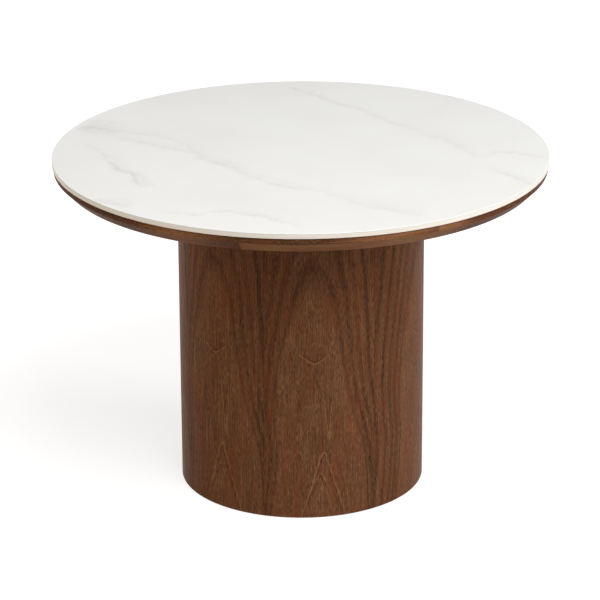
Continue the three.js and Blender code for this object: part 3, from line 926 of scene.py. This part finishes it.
def walnut(tree, rings):
    """American walnut under satin lacquer: brown heartwood with darker latewood lines, reddish and
    dark streaks along the grain and fine open pores, which the lacquer leaves a little sunk."""
    settings = bpy.context.scene.table.walnut
    grain = add(tree, "ShaderNodeAttribute", out="Vector", attribute_name="grain")
    ring, own_tone = rings(tree, grain)

    # Broad bands that follow the rings, the line at each ring's edge, and the strong rings
    broad = {"W": ring, "Scale": 1 / BAND_WIDTH, "Detail": 3.0}
    band = add(tree, "ShaderNodeTexNoise", broad, noise_dimensions="1D")
    jitter = figure(tree, grain, JITTER_SIZE)
    counted = add(tree, "DIVIDE", (ring, settings.ring_width))
    phase = add(tree, "MULTIPLY_ADD", (jitter, JITTER_REACH, counted))
    part = add(tree, "FRACT", (phase,))
    even = add(tree, "ShaderNodeFloatCurve", {"Value": part}, curve=RING_PROFILE)
    reach = add(tree, "DIVIDE", (ring, WIDEST_RING), use_clamp=True)
    strong = add(tree, "ShaderNodeFloatCurve", {"Value": reach}, curve=RING_TONES)
    bands, lines, marked = [add(tree, "SUBTRACT", (level, 0.5)) for level in (band, even, strong)]

    # Streaks, fibres and flecks along the grain, drawn coarse enough to show from across a room
    streaks = figure(tree, grain, STREAK_SIZE, detail=3.0, roughness=0.6)
    fibres = figure(tree, grain, FIBRE_SIZE, detail=0.0)
    flecks = figure(tree, grain, FLECK_SIZE, detail=0.0)
    tone = add(tree, "ADD", (own_tone, PLAIN_TONE))
    for feature, weight in zip((bands, lines, marked, streaks, fibres, flecks), TONE_WEIGHTS):
        tone = add(tree, "MULTIPLY_ADD", (feature, weight, tone))
    browns = ((0.1, settings.dark), (0.5, settings.brown), (0.9, settings.light))
    wood = add(tree, "ShaderNodeValToRGB", (tone,), stops=browns)
    flush = figure(tree, grain, FLUSH_SIZE, detail=3.0, roughness=0.6)
    redness = add(tree, "ShaderNodeMapRange", (flush, *FLUSH_RANGE))
    dashes = figure(tree, grain, PORE_SIZE, detail=1.0)
    pores = add(tree, "ShaderNodeMapRange", (dashes, *PORE_RANGE))
    shade = add(tree, "MULTIPLY", (pores, PORE_SHADE))
    colour = wood
    for share, stain in ((redness, settings.red), (shade, settings.dark)):
        colour = add(tree, "ShaderNodeMix", {0: share, 6: colour, 7: stain}, out=2, data_type="RGBA")
    sunk = {"Height": pores, "Strength": 0.35, "Distance": 0.06 * MM}
    return {
        "Base Color": colour,
        "Roughness": add(tree, "MULTIPLY_ADD", (pores, *WALNUT_ROUGHNESS)),
        "Normal": add(tree, "ShaderNodeBump", sunk, out="Normal", invert=True),
        "IOR": 1.5,
        "Specular IOR Level": 0.02,
    }


def lacquered_walnut_veneer(tree):
    """Sliced walnut, with arches up the middle of each leaf."""
    return walnut(tree, crown_rings)


def lacquered_solid_walnut(tree):
    """Sawn walnut, with straight streaks."""
    return walnut(tree, plank_rings)


def fibreboard(tree):
    """Medium density fibreboard, sawn and bare: even tan felt of fine fibres."""
    place = place_in_mm(tree)
    felt = figure(tree, place, FELT_SIZE, detail=4.0, roughness=0.7)
    patches = figure(tree, place, FELT_PATCH_SIZE, detail=3.0)
    tone = add(tree, "MULTIPLY_ADD", (felt, FELT_WEIGHT, FELT_TONE))
    mixed = add(tree, "MULTIPLY_ADD", (patches, FELT_PATCH_WEIGHT, tone))
    tans = ((0.2, "#8a6a4a"), (0.8, "#b8966e"))
    fuzz = {"Height": felt, "Strength": 0.5, "Distance": 0.15 * MM}
    return {
        "Base Color": add(tree, "ShaderNodeValToRGB", (mixed,), stops=tans),
        "Roughness": 0.9,
        "Normal": add(tree, "ShaderNodeBump", fuzz, out="Normal"),
        "IOR": 1.45,
    }


def birch_plywood(tree):
    """Birch plywood, sanded and bare: pale rotary cut faces, and fine plies that are light and dark
    in turn at the edges."""
    place = place_in_mm(tree)
    level = add(tree, "ShaderNodeSeparateXYZ", (place,), out="Z")
    ply = add(tree, "DIVIDE", (level, PLY_THICKNESS))
    turn = add(tree, "PINGPONG", (ply, 1.0))
    layer = add(tree, "GREATER_THAN", (turn, 0.5))
    swirl = figure(tree, place, SWIRL_SIZE, detail=3.0, roughness=0.6)
    fibre = figure(tree, place, PLY_FIBRE_SIZE)
    tone = PLY_TONE
    for feature, weight in ((layer, PLY_WEIGHT), (swirl, SWIRL_WEIGHT), (fibre, PLY_FIBRE_WEIGHT)):
        tone = add(tree, "MULTIPLY_ADD", (feature, weight, tone))
    straws = ((0.15, "#b08a5c"), (0.85, "#dcc398"))
    ridges = {"Height": fibre, "Strength": 0.3, "Distance": 0.1 * MM}
    return {
        "Base Color": add(tree, "ShaderNodeValToRGB", (tone,), stops=straws),
        "Roughness": 0.7,
        "Normal": add(tree, "ShaderNodeBump", ridges, out="Normal"),
        "IOR": 1.45,
    }


def planed_pine(tree):
    """Planed pine, bare: straight amber latewood lines on a straw ground."""
    grain = add(tree, "ShaderNodeAttribute", out="Vector", attribute_name="grain")
    sway = figure(tree, grain, PINE_SWAY_SIZE)
    across = add(tree, "ShaderNodeSeparateXYZ", (grain,), out="X")
    swayed = add(tree, "MULTIPLY_ADD", (sway, PINE_SWAY_REACH, across))
    counted = add(tree, "DIVIDE", (swayed, PINE_RING))
    part = add(tree, "FRACT", (counted,))
    fibre = figure(tree, grain, PINE_FIBRE_SIZE)
    tone = add(tree, "MULTIPLY_ADD", (fibre, PINE_FIBRE_WEIGHT, part))
    ambers = ((0, "#e6cc9c"), (0.55, "#dcbc85"), (0.9, "#b98c52"), (1, "#d8b67e"))
    return {
        "Base Color": add(tree, "ShaderNodeValToRGB", (tone,), stops=ambers),
        "Roughness": 0.6,
        "IOR": 1.45,
    }


def cured_silicone(tree):
    """Neutral cure silicone, squeezed flat: pale grey rubber with a dull skin."""
    skin = figure(tree, place_in_mm(tree), SKIN_SIZE)
    half = add(tree, "ADD", (skin, 0.5))
    greys = ((0.3, "#cfcec8"), (0.7, "#dad9d4"))
    waves = {"Height": skin, "Strength": 0.3, "Distance": 0.2 * MM}
    return {
        "Base Color": add(tree, "ShaderNodeValToRGB", (half,), stops=greys),
        "Roughness": 0.5,
        "Normal": add(tree, "ShaderNodeBump", waves, out="Normal"),
        "IOR": 1.41,
        "Subsurface Weight": 0.1,
    }


def zinc_plate(tree):
    """Bright zinc plated steel: silvery metal, faintly blue and yellow in patches, a little clouded."""
    cloud = figure(tree, place_in_mm(tree), ZINC_CLOUD_SIZE, detail=3.0)
    half = add(tree, "ADD", (cloud, 0.5))
    zinc = bpy.context.scene.table.hardware.zinc
    silvers = ((0.3, "#b9c0c8"), (0.5, zinc), (0.7, "#cfcbb8"))
    return {
        "Base Color": add(tree, "ShaderNodeValToRGB", (half,), stops=silvers),
        "Roughness": add(tree, "MULTIPLY_ADD", (cloud, *ZINC_ROUGHNESS)),
        "Metallic": 1.0,
    }


def moulded_nylon(tree):
    """Black glass filled nylon, moulded in a spark eroded tool: near black with a fine matt grain."""
    sparks = figure(tree, place_in_mm(tree), SPARK_SIZE)
    pits = {"Height": sparks, "Strength": 0.4, "Distance": 0.05 * MM}
    return {
        "Base Color": bpy.context.scene.table.hardware.nylon,
        "Roughness": add(tree, "MULTIPLY_ADD", (sparks, *NYLON_ROUGHNESS)),
        "Normal": add(tree, "ShaderNodeBump", pits, out="Normal"),
        "IOR": 1.53,
    }


# Operators

class TABLE_OT_stone_top(bpy.types.Operator):
    """Build the stone slab with its fine arrises"""

    bl_idname = "table.stone_top"
    bl_label = "Stone Top"

    def execute(self, context):
        settings = context.scene.table.stone
        radius = STONE_HIGH.x
        outline = eased([
            (0, STONE_LOW.z, 0),
            (radius, STONE_LOW.z, settings.under_arris),
            (radius, STONE_HIGH.z, settings.top_arris),
            (0, STONE_HIGH.z, 0),
        ])
        stone = material_of(veined_sintered_stone)
        slab = new_piece("stone_slab", turned(outline, ROUND_STEPS), stone)
        settle(slab, "root", "sintered_stone", "stone_top")
        return {"FINISHED"}


class TABLE_OT_bond_beads(bpy.types.Operator):
    """Lay the rings of silicone between panel and slab"""

    bl_idname = "table.bond_beads"
    bl_label = "Bond Beads"

    def execute(self, context):
        silicone = material_of(cured_silicone)
        for number in range(1, BEAD_COUNT + 1):
            low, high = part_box(f"bond_bead_{number}")
            outer = high.x
            inner = outer - BEAD_WIDTH
            ease = (high.z - low.z) * BEAD_EASE_SHARE
            outline = eased([
                (inner, low.z, ease), (outer, low.z, ease), (outer, high.z, ease), (inner, high.z, ease),
            ])
            bead = new_piece(f"silicone_bead_{number}", turned(outline, ROUND_STEPS // 2), silicone)
            settle(bead, "root", "silicone", f"bond_bead_{number}")
        return {"FINISHED"}


class TABLE_OT_walnut_rim(bpy.types.Operator):
    """Build the eight pieces of the walnut rim, each sawn from a straight plank"""

    bl_idname = "table.walnut_rim"
    bl_label = "Walnut Rim"

    def execute(self, context):
        settings = context.scene.table.walnut
        inner = CORE_HIGH.x + FIT_GAP
        outer = STONE_HIGH.x - RIM_SETBACK
        low, high = CORE_LOW.z, CORE_HIGH.z
        tongue_low = (low + high - TONGUE_THICKNESS) / 2
        tongue_high = tongue_low + TONGUE_THICKNESS
        outline = eased([
            (inner, low, 0),
            (outer - RIM_CHAMFER, low, settings.ease),
            (outer, low + RIM_CHAMFER, settings.ease),
            (outer, high, settings.ease),
            (inner, high, 0),
            (inner, tongue_high, 0),
            (inner - TONGUE_REACH, tongue_high, 0),
            (inner - TONGUE_REACH, tongue_low, 0),
            (inner, tongue_low, 0),
        ])
        wood = material_of(lacquered_solid_walnut)
        sweep = math.tau / RIM_PIECES
        joint = RIM_JOINT / outer
        steps = ROUND_STEPS // RIM_PIECES
        across, through, along = PLANK_STEP
        for number in range(RIM_PIECES):
            start = RIM_FIRST_JOINT + sweep * number
            middle = start + sweep / 2
            shape = turned(outline, steps, start + joint / 2, sweep - joint)
            piece = new_piece(f"walnut_rim_{number + 1}", shape, wood)
            outwards = Vector((math.cos(middle), math.sin(middle), 0))
            ahead = Vector((-math.sin(middle), math.cos(middle), 0))
            plank = Vector((across * (number % PLANKS_ABREAST), through * number, along * number))

            def place_of(co):
                return Vector((co.dot(outwards) - outer, co.z - low, co.dot(ahead))) + plank

            grain_places(piece, place_of)
            settle(piece, "root", "walnut", f"rim_piece_{number + 1}")
        return {"FINISHED"}


class TABLE_OT_veneer(bpy.types.Operator):
    """Lay the slip matched leaves of walnut veneer round the drum"""

    bl_idname = "table.veneer"
    bl_label = "Drum Veneer"

    def execute(self, context):
        veneer = material_of(lacquered_walnut_veneer)
        outer = VENEER_HIGH.x
        inner = outer - VENEER_THICKNESS
        foot, arris = VENEER_LOW.z, VENEER_FOOT_ARRIS
        outline = [
            (inner, foot),
            (outer - arris, foot),
            (outer - ARC_SHARE * arris, foot + ARC_SHARE * arris),
            (outer, foot + arris),
            (outer, foot + 2 * arris),
            (outer, VENEER_HIGH.z),
            (inner, VENEER_HIGH.z),
        ]
        front = -math.pi / 2
        seam = LEAF_SEAM / outer
        for number, (left, right) in enumerate(zip(SEAM_ANGLES, SEAM_ANGLES[1:])):
            start, end = math.radians(left), math.radians(right)
            crown = math.radians(CROWN_ANGLES[number])
            middle = (start + end) / 2
            steps = round(math.degrees(end - start))
            shape = turned(outline, steps, front + start + seam, end - start - 2 * seam)
            leaf = new_piece(f"veneer_leaf_{number + 1}", shape, veneer)

            def place_of(co):
                from_middle = math.remainder(math.atan2(co.y, co.x) - front - middle, math.tau)
                across = (from_middle + middle - crown) * outer
                return across, number * VENEER_THICKNESS, co.z

            grain_places(leaf, place_of)
            settle(leaf, "root", "walnut_veneer", *(["drum_veneer"] if number == 0 else []))
        return {"FINISHED"}


class TABLE_OT_drum_board(bpy.types.Operator):
    """Bend the kerfed board inside the veneer"""

    bl_idname = "table.drum_board"
    bl_label = "Drum Board"

    def execute(self, context):
        board = material_of(fibreboard)
        piece = new_piece("kerfed_shell", bmesh.new(), board)
        run_tree(piece, kerfed_board(), {
            "Outer Radius": SHELL_HIGH.x,
            "Inner Radius": SHELL_HIGH.x - BOARD_THICKNESS,
            "Level": SHELL_LOW.z,
            "Height": SHELL_HIGH.z - SHELL_LOW.z,
            "Kerfs": KERF_COUNT,
            "Kerf Depth": KERF_DEPTH,
            "Kerf Width": KERF_WIDTH,
            "Material": board,
        })
        settle(piece, "root", "board", "drum_shell")
        return {"FINISHED"}


class TABLE_OT_panel_boards(bpy.types.Operator):
    """Finish the panel's core and the drum's plate, and build the base ring with its recesses"""

    bl_idname = "table.panel_boards"
    bl_label = "Boards"

    def execute(self, context):
        plywood = material_of(birch_plywood)
        for name, material in (("panel_core", material_of(fibreboard)), ("drum_plate", plywood)):
            node_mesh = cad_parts[name].data
            node_mesh.materials.clear()
            node_mesh.materials.append(material)

        low, high = RING_LOW.z, RING_HIGH.z
        outer = RING_HIGH.x
        inner = outer - RING_WIDTH
        section = eased([
            (inner, low, RING_EASE), (outer, low, 0), (outer, high, 0), (inner, high, RING_EASE),
        ])
        ring = new_piece("plywood_ring", turned(section, ROUND_STEPS), plywood)
        over = high + OVERRUN
        bore = INSERT_BODY + FIT_GAP
        head, shank = SCREW_HEAD + FIT_GAP, SCREW_SHANK + FIT_GAP
        wide, ceiling = RECESS_RADIUS, RECESS_CEILING
        recess = [(0, -OVERRUN), (wide, -OVERRUN), (wide, ceiling), (0, ceiling)]
        nut_hole = [(0, 0), (bore, 0), (bore, over), (0, over)]
        sink = low + SCREW_HEAD_HEIGHT
        screw_hole = [(0, -OVERRUN), (head, -OVERRUN), (head, low), (shank, sink), (shank, over), (0, over)]
        cutters = []
        for outline, first in ((recess, FOOT_PLACE), (nut_hole, FOOT_PLACE), (screw_hole, BATTEN_PLACE)):
            for spot, _ in round_places(first, CORNER_COUNT):
                cutters.append(moved(new_piece("cutter", turned(outline, SMALL_STEPS), None), spot))
        cut(ring, cutters)
        settle(ring, "root", "plywood", "base_ring")
        return {"FINISHED"}


class TABLE_OT_battens(bpy.types.Operator):
    """Stand the planed battens between ring and plate"""

    bl_idname = "table.battens"
    bl_label = "Battens"

    def execute(self, context):
        thick = (BATTEN_HIGH.x - BATTEN_LOW.x) / 2
        wide = (BATTEN_HIGH.y - BATTEN_LOW.y) / 2
        corners = ((-thick, -wide), (thick, -wide), (thick, wide), (-thick, wide))
        outline = eased([(x, y, BATTEN_EASE) for x, y in corners])
        shape = bmesh.new()
        ends = [
            shape.faces.new([shape.verts.new((x, y, level)) for x, y in outline])
            for level in (BATTEN_LOW.z, BATTEN_HIGH.z)
        ]
        for low, high in zip(ends[0].loops, ends[1].loops):
            shape.faces.new((low.vert, low.link_loop_next.vert, high.link_loop_next.vert, high.vert))
        pine = material_of(planed_pine)
        battens = new_piece("pine_battens", shape, pine)
        grain_places(battens, lambda co: (co.y, co.x, co.z))
        repeated(battens, pine, CORNER_COUNT, BATTEN_PLACE)
        settle(battens, "root", "pine", *numbered("batten", CORNER_COUNT))
        return {"FINISHED"}


# Outlines of the hardware. One that is a function gives the outline in one direction

def hexagon(angle):
    """Distance from the middle of the hexagon to its side in one direction, radius of its flat
    face, and how far its chamfer drops there."""
    side = HEX_FLATS / 2 / math.cos(math.remainder(angle, math.pi / 3))
    face = HEX_FLATS / 2 * HEX_FACE_SHARE
    return side, face, (side - face) * math.tan(HEX_CHAMFER_SLOPE)


def thread(radius, depth, pitch, low, high, angle):
    """Points up a threaded shank in one direction, with the thread running out at its end."""
    count = round((high - low) / pitch * THREAD_ROWS)
    points = []
    for row in range(count + 1):
        level = low + (high - low) * row / count
        crest = abs(2 * ((level / pitch - angle / math.tau) % 1) - 1)
        end = min(1.0, (high - level) / pitch)
        points.append((radius - depth * (1 - crest) - depth * (1 - end), level))
    return points


def machine_thread(depth, low, high, angle, radius=BOLT_SHANK):
    """Thread in the pitch that bolts, stems, inserts and nuts share."""
    pitch = bpy.context.scene.table.hardware.thread_pitch
    return thread(radius, depth, pitch, low, high, angle)


def hex_bolt(angle):
    """M8 bolt pointing up from its bearing face, its head chamfered below."""
    side, face, drop = hexagon(angle)
    low = -BOLT_HEAD_HEIGHT
    end = BOLT_HIGH.z - WASHER_LOW.z + SEAT_GAP
    return [
        (0, low), (face, low), (side, low + drop), (side, -FINE_CHAMFER), (side - FINE_CHAMFER, 0),
        *machine_thread(BOLT_THREAD_DEPTH, 0, end, angle), (0, end),
    ]


def wood_screw(angle):
    """Countersunk wood screw pointing up, its head flush with zero."""
    end = LOWER_HIGH.z - LOWER_LOW.z
    shank = thread(SCREW_SHANK, SCREW_THREAD_DEPTH, SCREW_PITCH, SCREW_HEAD_HEIGHT, end - SCREW_TIP, angle)
    return [(0, 0), (SCREW_HEAD - FINE_CHAMFER, 0), (SCREW_HEAD, FINE_CHAMFER), *shank, (0, end)]


def washer_outline():
    """Section of a washer with its edges stamped round."""
    inner = BOLT_SHANK + FIT_GAP
    outer = (WASHER_HIGH - WASHER_LOW).x / 2
    high = WASHER_HIGH.z - WASHER_LOW.z
    return eased([
        (inner, 0, FINE_CHAMFER), (outer, 0, FLANGE_CHAMFER),
        (outer, high, FLANGE_CHAMFER), (inner, high, FINE_CHAMFER),
    ])


def flanged_sleeve(flange, length):
    """Threaded insert or nut with its flange at the foot, standing on zero."""
    bore = BOLT_SHANK + FIT_GAP

    def outline(angle):
        inside = machine_thread(SLEEVE_THREAD_DEPTH, SLEEVE_LEAD, length - SLEEVE_LEAD, angle, bore)
        return [
            (bore, 0), (flange - FLANGE_CHAMFER, 0), (flange, FLANGE_CHAMFER), (flange, FLANGE_THICKNESS),
            (INSERT_BODY, FLANGE_THICKNESS), (INSERT_BODY, length), (bore, length), *reversed(inside),
        ]

    return outline


def cross_recess(screw):
    """Presses a tapered cross into a screw's head."""
    corners = [
        (-CROSS_MOUTH, -CROSS_OVER), (CROSS_MOUTH, -CROSS_OVER),
        (CROSS_ROOT, CROSS_DEPTH), (-CROSS_ROOT, CROSS_DEPTH),
    ]
    cutters = []
    for turn in (0, math.pi / 2):
        shape = bmesh.new()
        near, far = (
            [shape.verts.new((x, side * CROSS_WIDTH / 2, z)) for x, z in corners] for side in (-1, 1)
        )
        shape.faces.new(near)
        shape.faces.new(reversed(far))
        for i in range(len(corners)):
            shape.faces.new((near[i], near[i - 1], far[i - 1], far[i]))
        cutters.append(moved(new_piece("cutter", shape, None), (0, 0, 0), turn))
    return cut(screw, cutters)


class TABLE_OT_fasteners(bpy.types.Operator):
    """Set the bolts, washers, inserts and screws"""

    bl_idname = "table.fasteners"
    bl_label = "Fasteners"

    def execute(self, context):
        zinc = material_of(zinc_plate)
        insert = flanged_sleeve(INSERT_FLANGE, INSERT_HIGH.z - INSERT_LOW.z)
        nut = flanged_sleeve(NUT_FLANGE, NUT_HIGH.z - NUT_LOW.z)
        for name, outline, count, place, level, solid in (
            ("panel_bolts", hex_bolt, BOLT_COUNT, BOLT_PLACE, WASHER_LOW.z - SEAT_GAP, "panel_bolt"),
            ("bolt_washers", washer_outline(), BOLT_COUNT, BOLT_PLACE, WASHER_LOW.z, "bolt_washer"),
            ("panel_inserts", insert, BOLT_COUNT, BOLT_PLACE, INSERT_LOW.z, "panel_insert"),
            ("lower_screws", wood_screw, CORNER_COUNT, BATTEN_PLACE, LOWER_LOW.z, "lower_screw"),
            ("foot_nuts", nut, CORNER_COUNT, FOOT_PLACE, NUT_LOW.z, "foot_nut"),
        ):
            piece = new_piece(name, turned(outline, SMALL_STEPS), zinc)
            if outline is wood_screw:
                cross_recess(piece)
            repeated(piece, zinc, count, place, level, math.tau)
            settle(piece, "root", "zinc_steel", *numbered(solid, count))

        upper = cross_recess(new_piece("upper_screws", turned(wood_screw, SMALL_STEPS), zinc))
        head_down = Matrix.Translation((0, 0, UPPER_HIGH.z)) @ Matrix.Rotation(math.pi, 4, "X")
        upper.data.transform(head_down)
        repeated(upper, zinc, CORNER_COUNT, BATTEN_PLACE)
        settle(upper, "root", "zinc_steel", *numbered("upper_screw", CORNER_COUNT))
        return {"FINISHED"}


def foot_pad_outline():
    """Section of the pad: soft shoulder, cone to its neck, and the socket round the ball."""
    radius = (PAD_HIGH - PAD_LOW).x / 2
    high = PAD_HIGH.z
    socket = BALL_RADIUS + FIT_GAP
    mouth = math.asin((high - BALL_LEVEL) / socket)
    bowl = []
    for step in range(SOCKET_STEPS):
        rise = mouth - (mouth + math.pi / 2) * step / SOCKET_STEPS
        bowl.append((socket * math.cos(rise), BALL_LEVEL + socket * math.sin(rise)))
    body = eased([
        (0, 0, 0),
        (radius, 0, PAD_FOOT_EASE),
        (radius, PAD_SHOULDER, PAD_SHOULDER_EASE),
        (PAD_NECK, high, PAD_NECK_EASE),
        (*bowl[0], 0),
    ])
    return [*body, *bowl[1:], (0, BALL_LEVEL - socket)]


def foot_stem_outline(angle):
    """Section of the stem in one direction: ball, neck, hexagon collar and thread."""
    top = math.acos(NECK_RADIUS / BALL_RADIUS)
    ball = [(0, BALL_LEVEL - BALL_RADIUS)]
    for step in range(1, BALL_STEPS + 1):
        rise = -math.pi / 2 + (top + math.pi / 2) * step / BALL_STEPS
        ball.append((BALL_RADIUS * math.cos(rise), BALL_LEVEL + BALL_RADIUS * math.sin(rise)))
    side, face, drop = hexagon(angle)
    low = COLLAR_LEVEL
    high = low + COLLAR_HEIGHT
    end = STEM_HIGH.z
    return [
        *ball, (NECK_RADIUS, low), (face, low), (side, low + drop), (side, high - drop), (face, high),
        *machine_thread(BOLT_THREAD_DEPTH, high, end, angle), (0, end),
    ]


class TABLE_OT_levelling_feet(bpy.types.Operator):
    """Build the levelling feet: a nylon pad and a threaded stem each"""

    bl_idname = "table.levelling_feet"
    bl_label = "Levelling Feet"

    def execute(self, context):
        for number, (spot, angle) in enumerate(round_places(FOOT_PLACE, CORNER_COUNT), 1):
            for name, outline, finish, body, slot, solid in (
                ("nylon_pad", foot_pad_outline(), moulded_nylon, "pad", "nylon", "foot_pad"),
                ("threaded_stem", foot_stem_outline, zinc_plate, "stem", "zinc_steel", "foot_stem"),
            ):
                piece = new_piece(f"{name}_{number}", turned(outline, SMALL_STEPS), material_of(finish))
                settle(moved(piece, spot, angle), f"{body}_{number}", slot, f"{solid}_{number}")
        return {"FINISHED"}


class TABLE_OT_stage(bpy.types.Operator):
    """Lay the floor, and set the lamps, the world and the camera"""

    bl_idname = "table.stage"
    bl_label = "Stage"

    def execute(self, context):
        settings = context.scene.table.stage
        self.lay_floor(settings)
        for name, (place, aim, width) in LAMPS.items():
            self.hang_lamp(name, place, aim, width, settings)
        self.light_world(context, settings)
        self.place_camera(context)
        context.scene.view_settings.view_transform = "Standard"
        return {"FINISHED"}

    def seen_rays(self, tree):
        """Whether a ray comes from the camera, a reflection or a glass."""
        path = add(tree, "ShaderNodeLightPath")
        seen = path.outputs["Is Camera Ray"]
        for name in ("Is Glossy Ray", "Is Transmission Ray"):
            seen = add(tree, "MAXIMUM", (seen, path.outputs[name]))
        return seen

    def lay_floor(self, settings):
        """White floor that keeps the table's shadow, and isn't seen from below."""
        material, tree = new_material("studio_floor")
        paint = add(tree, "ShaderNodeBsdfDiffuse", {"Color": settings.floor})
        coords = add(tree, "ShaderNodeTexCoord", out="Object")
        away = add(tree, "ShaderNodeVectorMath", (coords,), out="Value", operation="LENGTH")
        white = add(tree, "ShaderNodeMapRange", (away, *FLOOR_REACH, *FLOOR_GLOW))
        lift = add(tree, "MULTIPLY", (self.seen_rays(tree), white))
        glow = add(tree, "ShaderNodeEmission", {"Strength": lift})
        lit = add(tree, "ShaderNodeAddShader", (paint, glow))
        clear = add(tree, "ShaderNodeBsdfTransparent")
        below = add(tree, "ShaderNodeNewGeometry", out="Backfacing")
        surface = add(tree, "ShaderNodeMixShader", (below, lit, clear))
        add(tree, "ShaderNodeOutputMaterial", {"Surface": surface})
        shape = bmesh.new()
        bmesh.ops.create_circle(shape, cap_ends=True, segments=ROUND_STEPS // 2, radius=FLOOR_RADIUS)
        floor = new_piece("floor", shape, material)

    def hang_lamp(self, name, place, aim, width, settings):
        """Square lamp that faces a point on the table's axis."""
        lamp = bpy.data.lights.new(f"{name}_lamp", "AREA")
        lamp.shape = "SQUARE"
        lamp.size = width
        lamp.energy = getattr(settings, name)
        holder = bpy.data.objects.new(lamp.name, lamp)
        holder.location = place
        facing = Vector((0, 0, aim)) - Vector(place)
        holder.rotation_euler = facing.to_track_quat("-Z", "Y").to_euler()
        # A low lamp would whiten the whole top in views that face it
        holder.visible_glossy = name not in LOW_LAMPS
        if name == "fill":
            lamp.color = settings.fill_colour[:3]
        bpy.context.scene.collection.objects.link(holder)

    def light_world(self, context, settings):
        """White where it is seen, and soft grey light from all round on the object."""
        world = bpy.data.worlds.new("studio")
        world.use_nodes = True
        tree = world.node_tree
        tree.nodes.clear()
        white = (1, 1, 1, 1)
        soft = add(tree, "ShaderNodeBackground", {"Color": white, "Strength": settings.world})
        bright = add(tree, "ShaderNodeBackground", {"Color": white, "Strength": 1.0})
        mixed = add(tree, "ShaderNodeMixShader", (self.seen_rays(tree), soft, bright))
        add(tree, "ShaderNodeOutputWorld", {"Surface": mixed})
        context.scene.world = world

    def place_camera(self, context):
        """The camera that took the photograph, as fitted to it."""
        lens = bpy.data.cameras.new("camera")
        lens.lens = LENS
        lens.sensor_width = SENSOR
        camera = bpy.data.objects.new("camera", lens)
        turn = (
            Matrix.Rotation(CAMERA_YAW, 4, "Z")
            @ Matrix.Rotation(math.pi / 2 - CAMERA_PITCH, 4, "X")
            @ Matrix.Rotation(CAMERA_ROLL, 4, "Z")
        )
        camera.matrix_world = Matrix.Translation(CAMERA_PLACE) @ turn
        context.scene.collection.objects.link(camera)
        context.scene.camera = camera


class TABLE_PT_build(bpy.types.Panel):
    """Lists the steps that build the table"""

    bl_idname = "TABLE_PT_build"
    bl_label = "Round Pedestal Table"
    bl_space_type = "VIEW_3D"
    bl_region_type = "UI"
    bl_category = "Table"

    def draw(self, context):
        for operator in OPERATORS:
            self.layout.operator(operator.bl_idname)


SETTINGS = (StoneSettings, WalnutSettings, HardwareSettings, StageSettings, TableSettings)
OPERATORS = (
    TABLE_OT_stone_top,
    TABLE_OT_bond_beads,
    TABLE_OT_walnut_rim,
    TABLE_OT_veneer,
    TABLE_OT_drum_board,
    TABLE_OT_panel_boards,
    TABLE_OT_battens,
    TABLE_OT_fasteners,
    TABLE_OT_levelling_feet,
    TABLE_OT_stage,
)


def register():
    for kind in (*SETTINGS, *OPERATORS, TABLE_PT_build):
        bpy.utils.register_class(kind)
    bpy.types.Scene.table = PointerProperty(type=TableSettings)


def unregister():
    del bpy.types.Scene.table
    for kind in reversed((*SETTINGS, *OPERATORS, TABLE_PT_build)):
        bpy.utils.unregister_class(kind)


def main():
    register()
    for operator in OPERATORS:
        group, name = operator.bl_idname.split(".")
        getattr(getattr(bpy.ops, group), name)()


if __name__ == "__main__":
    main()
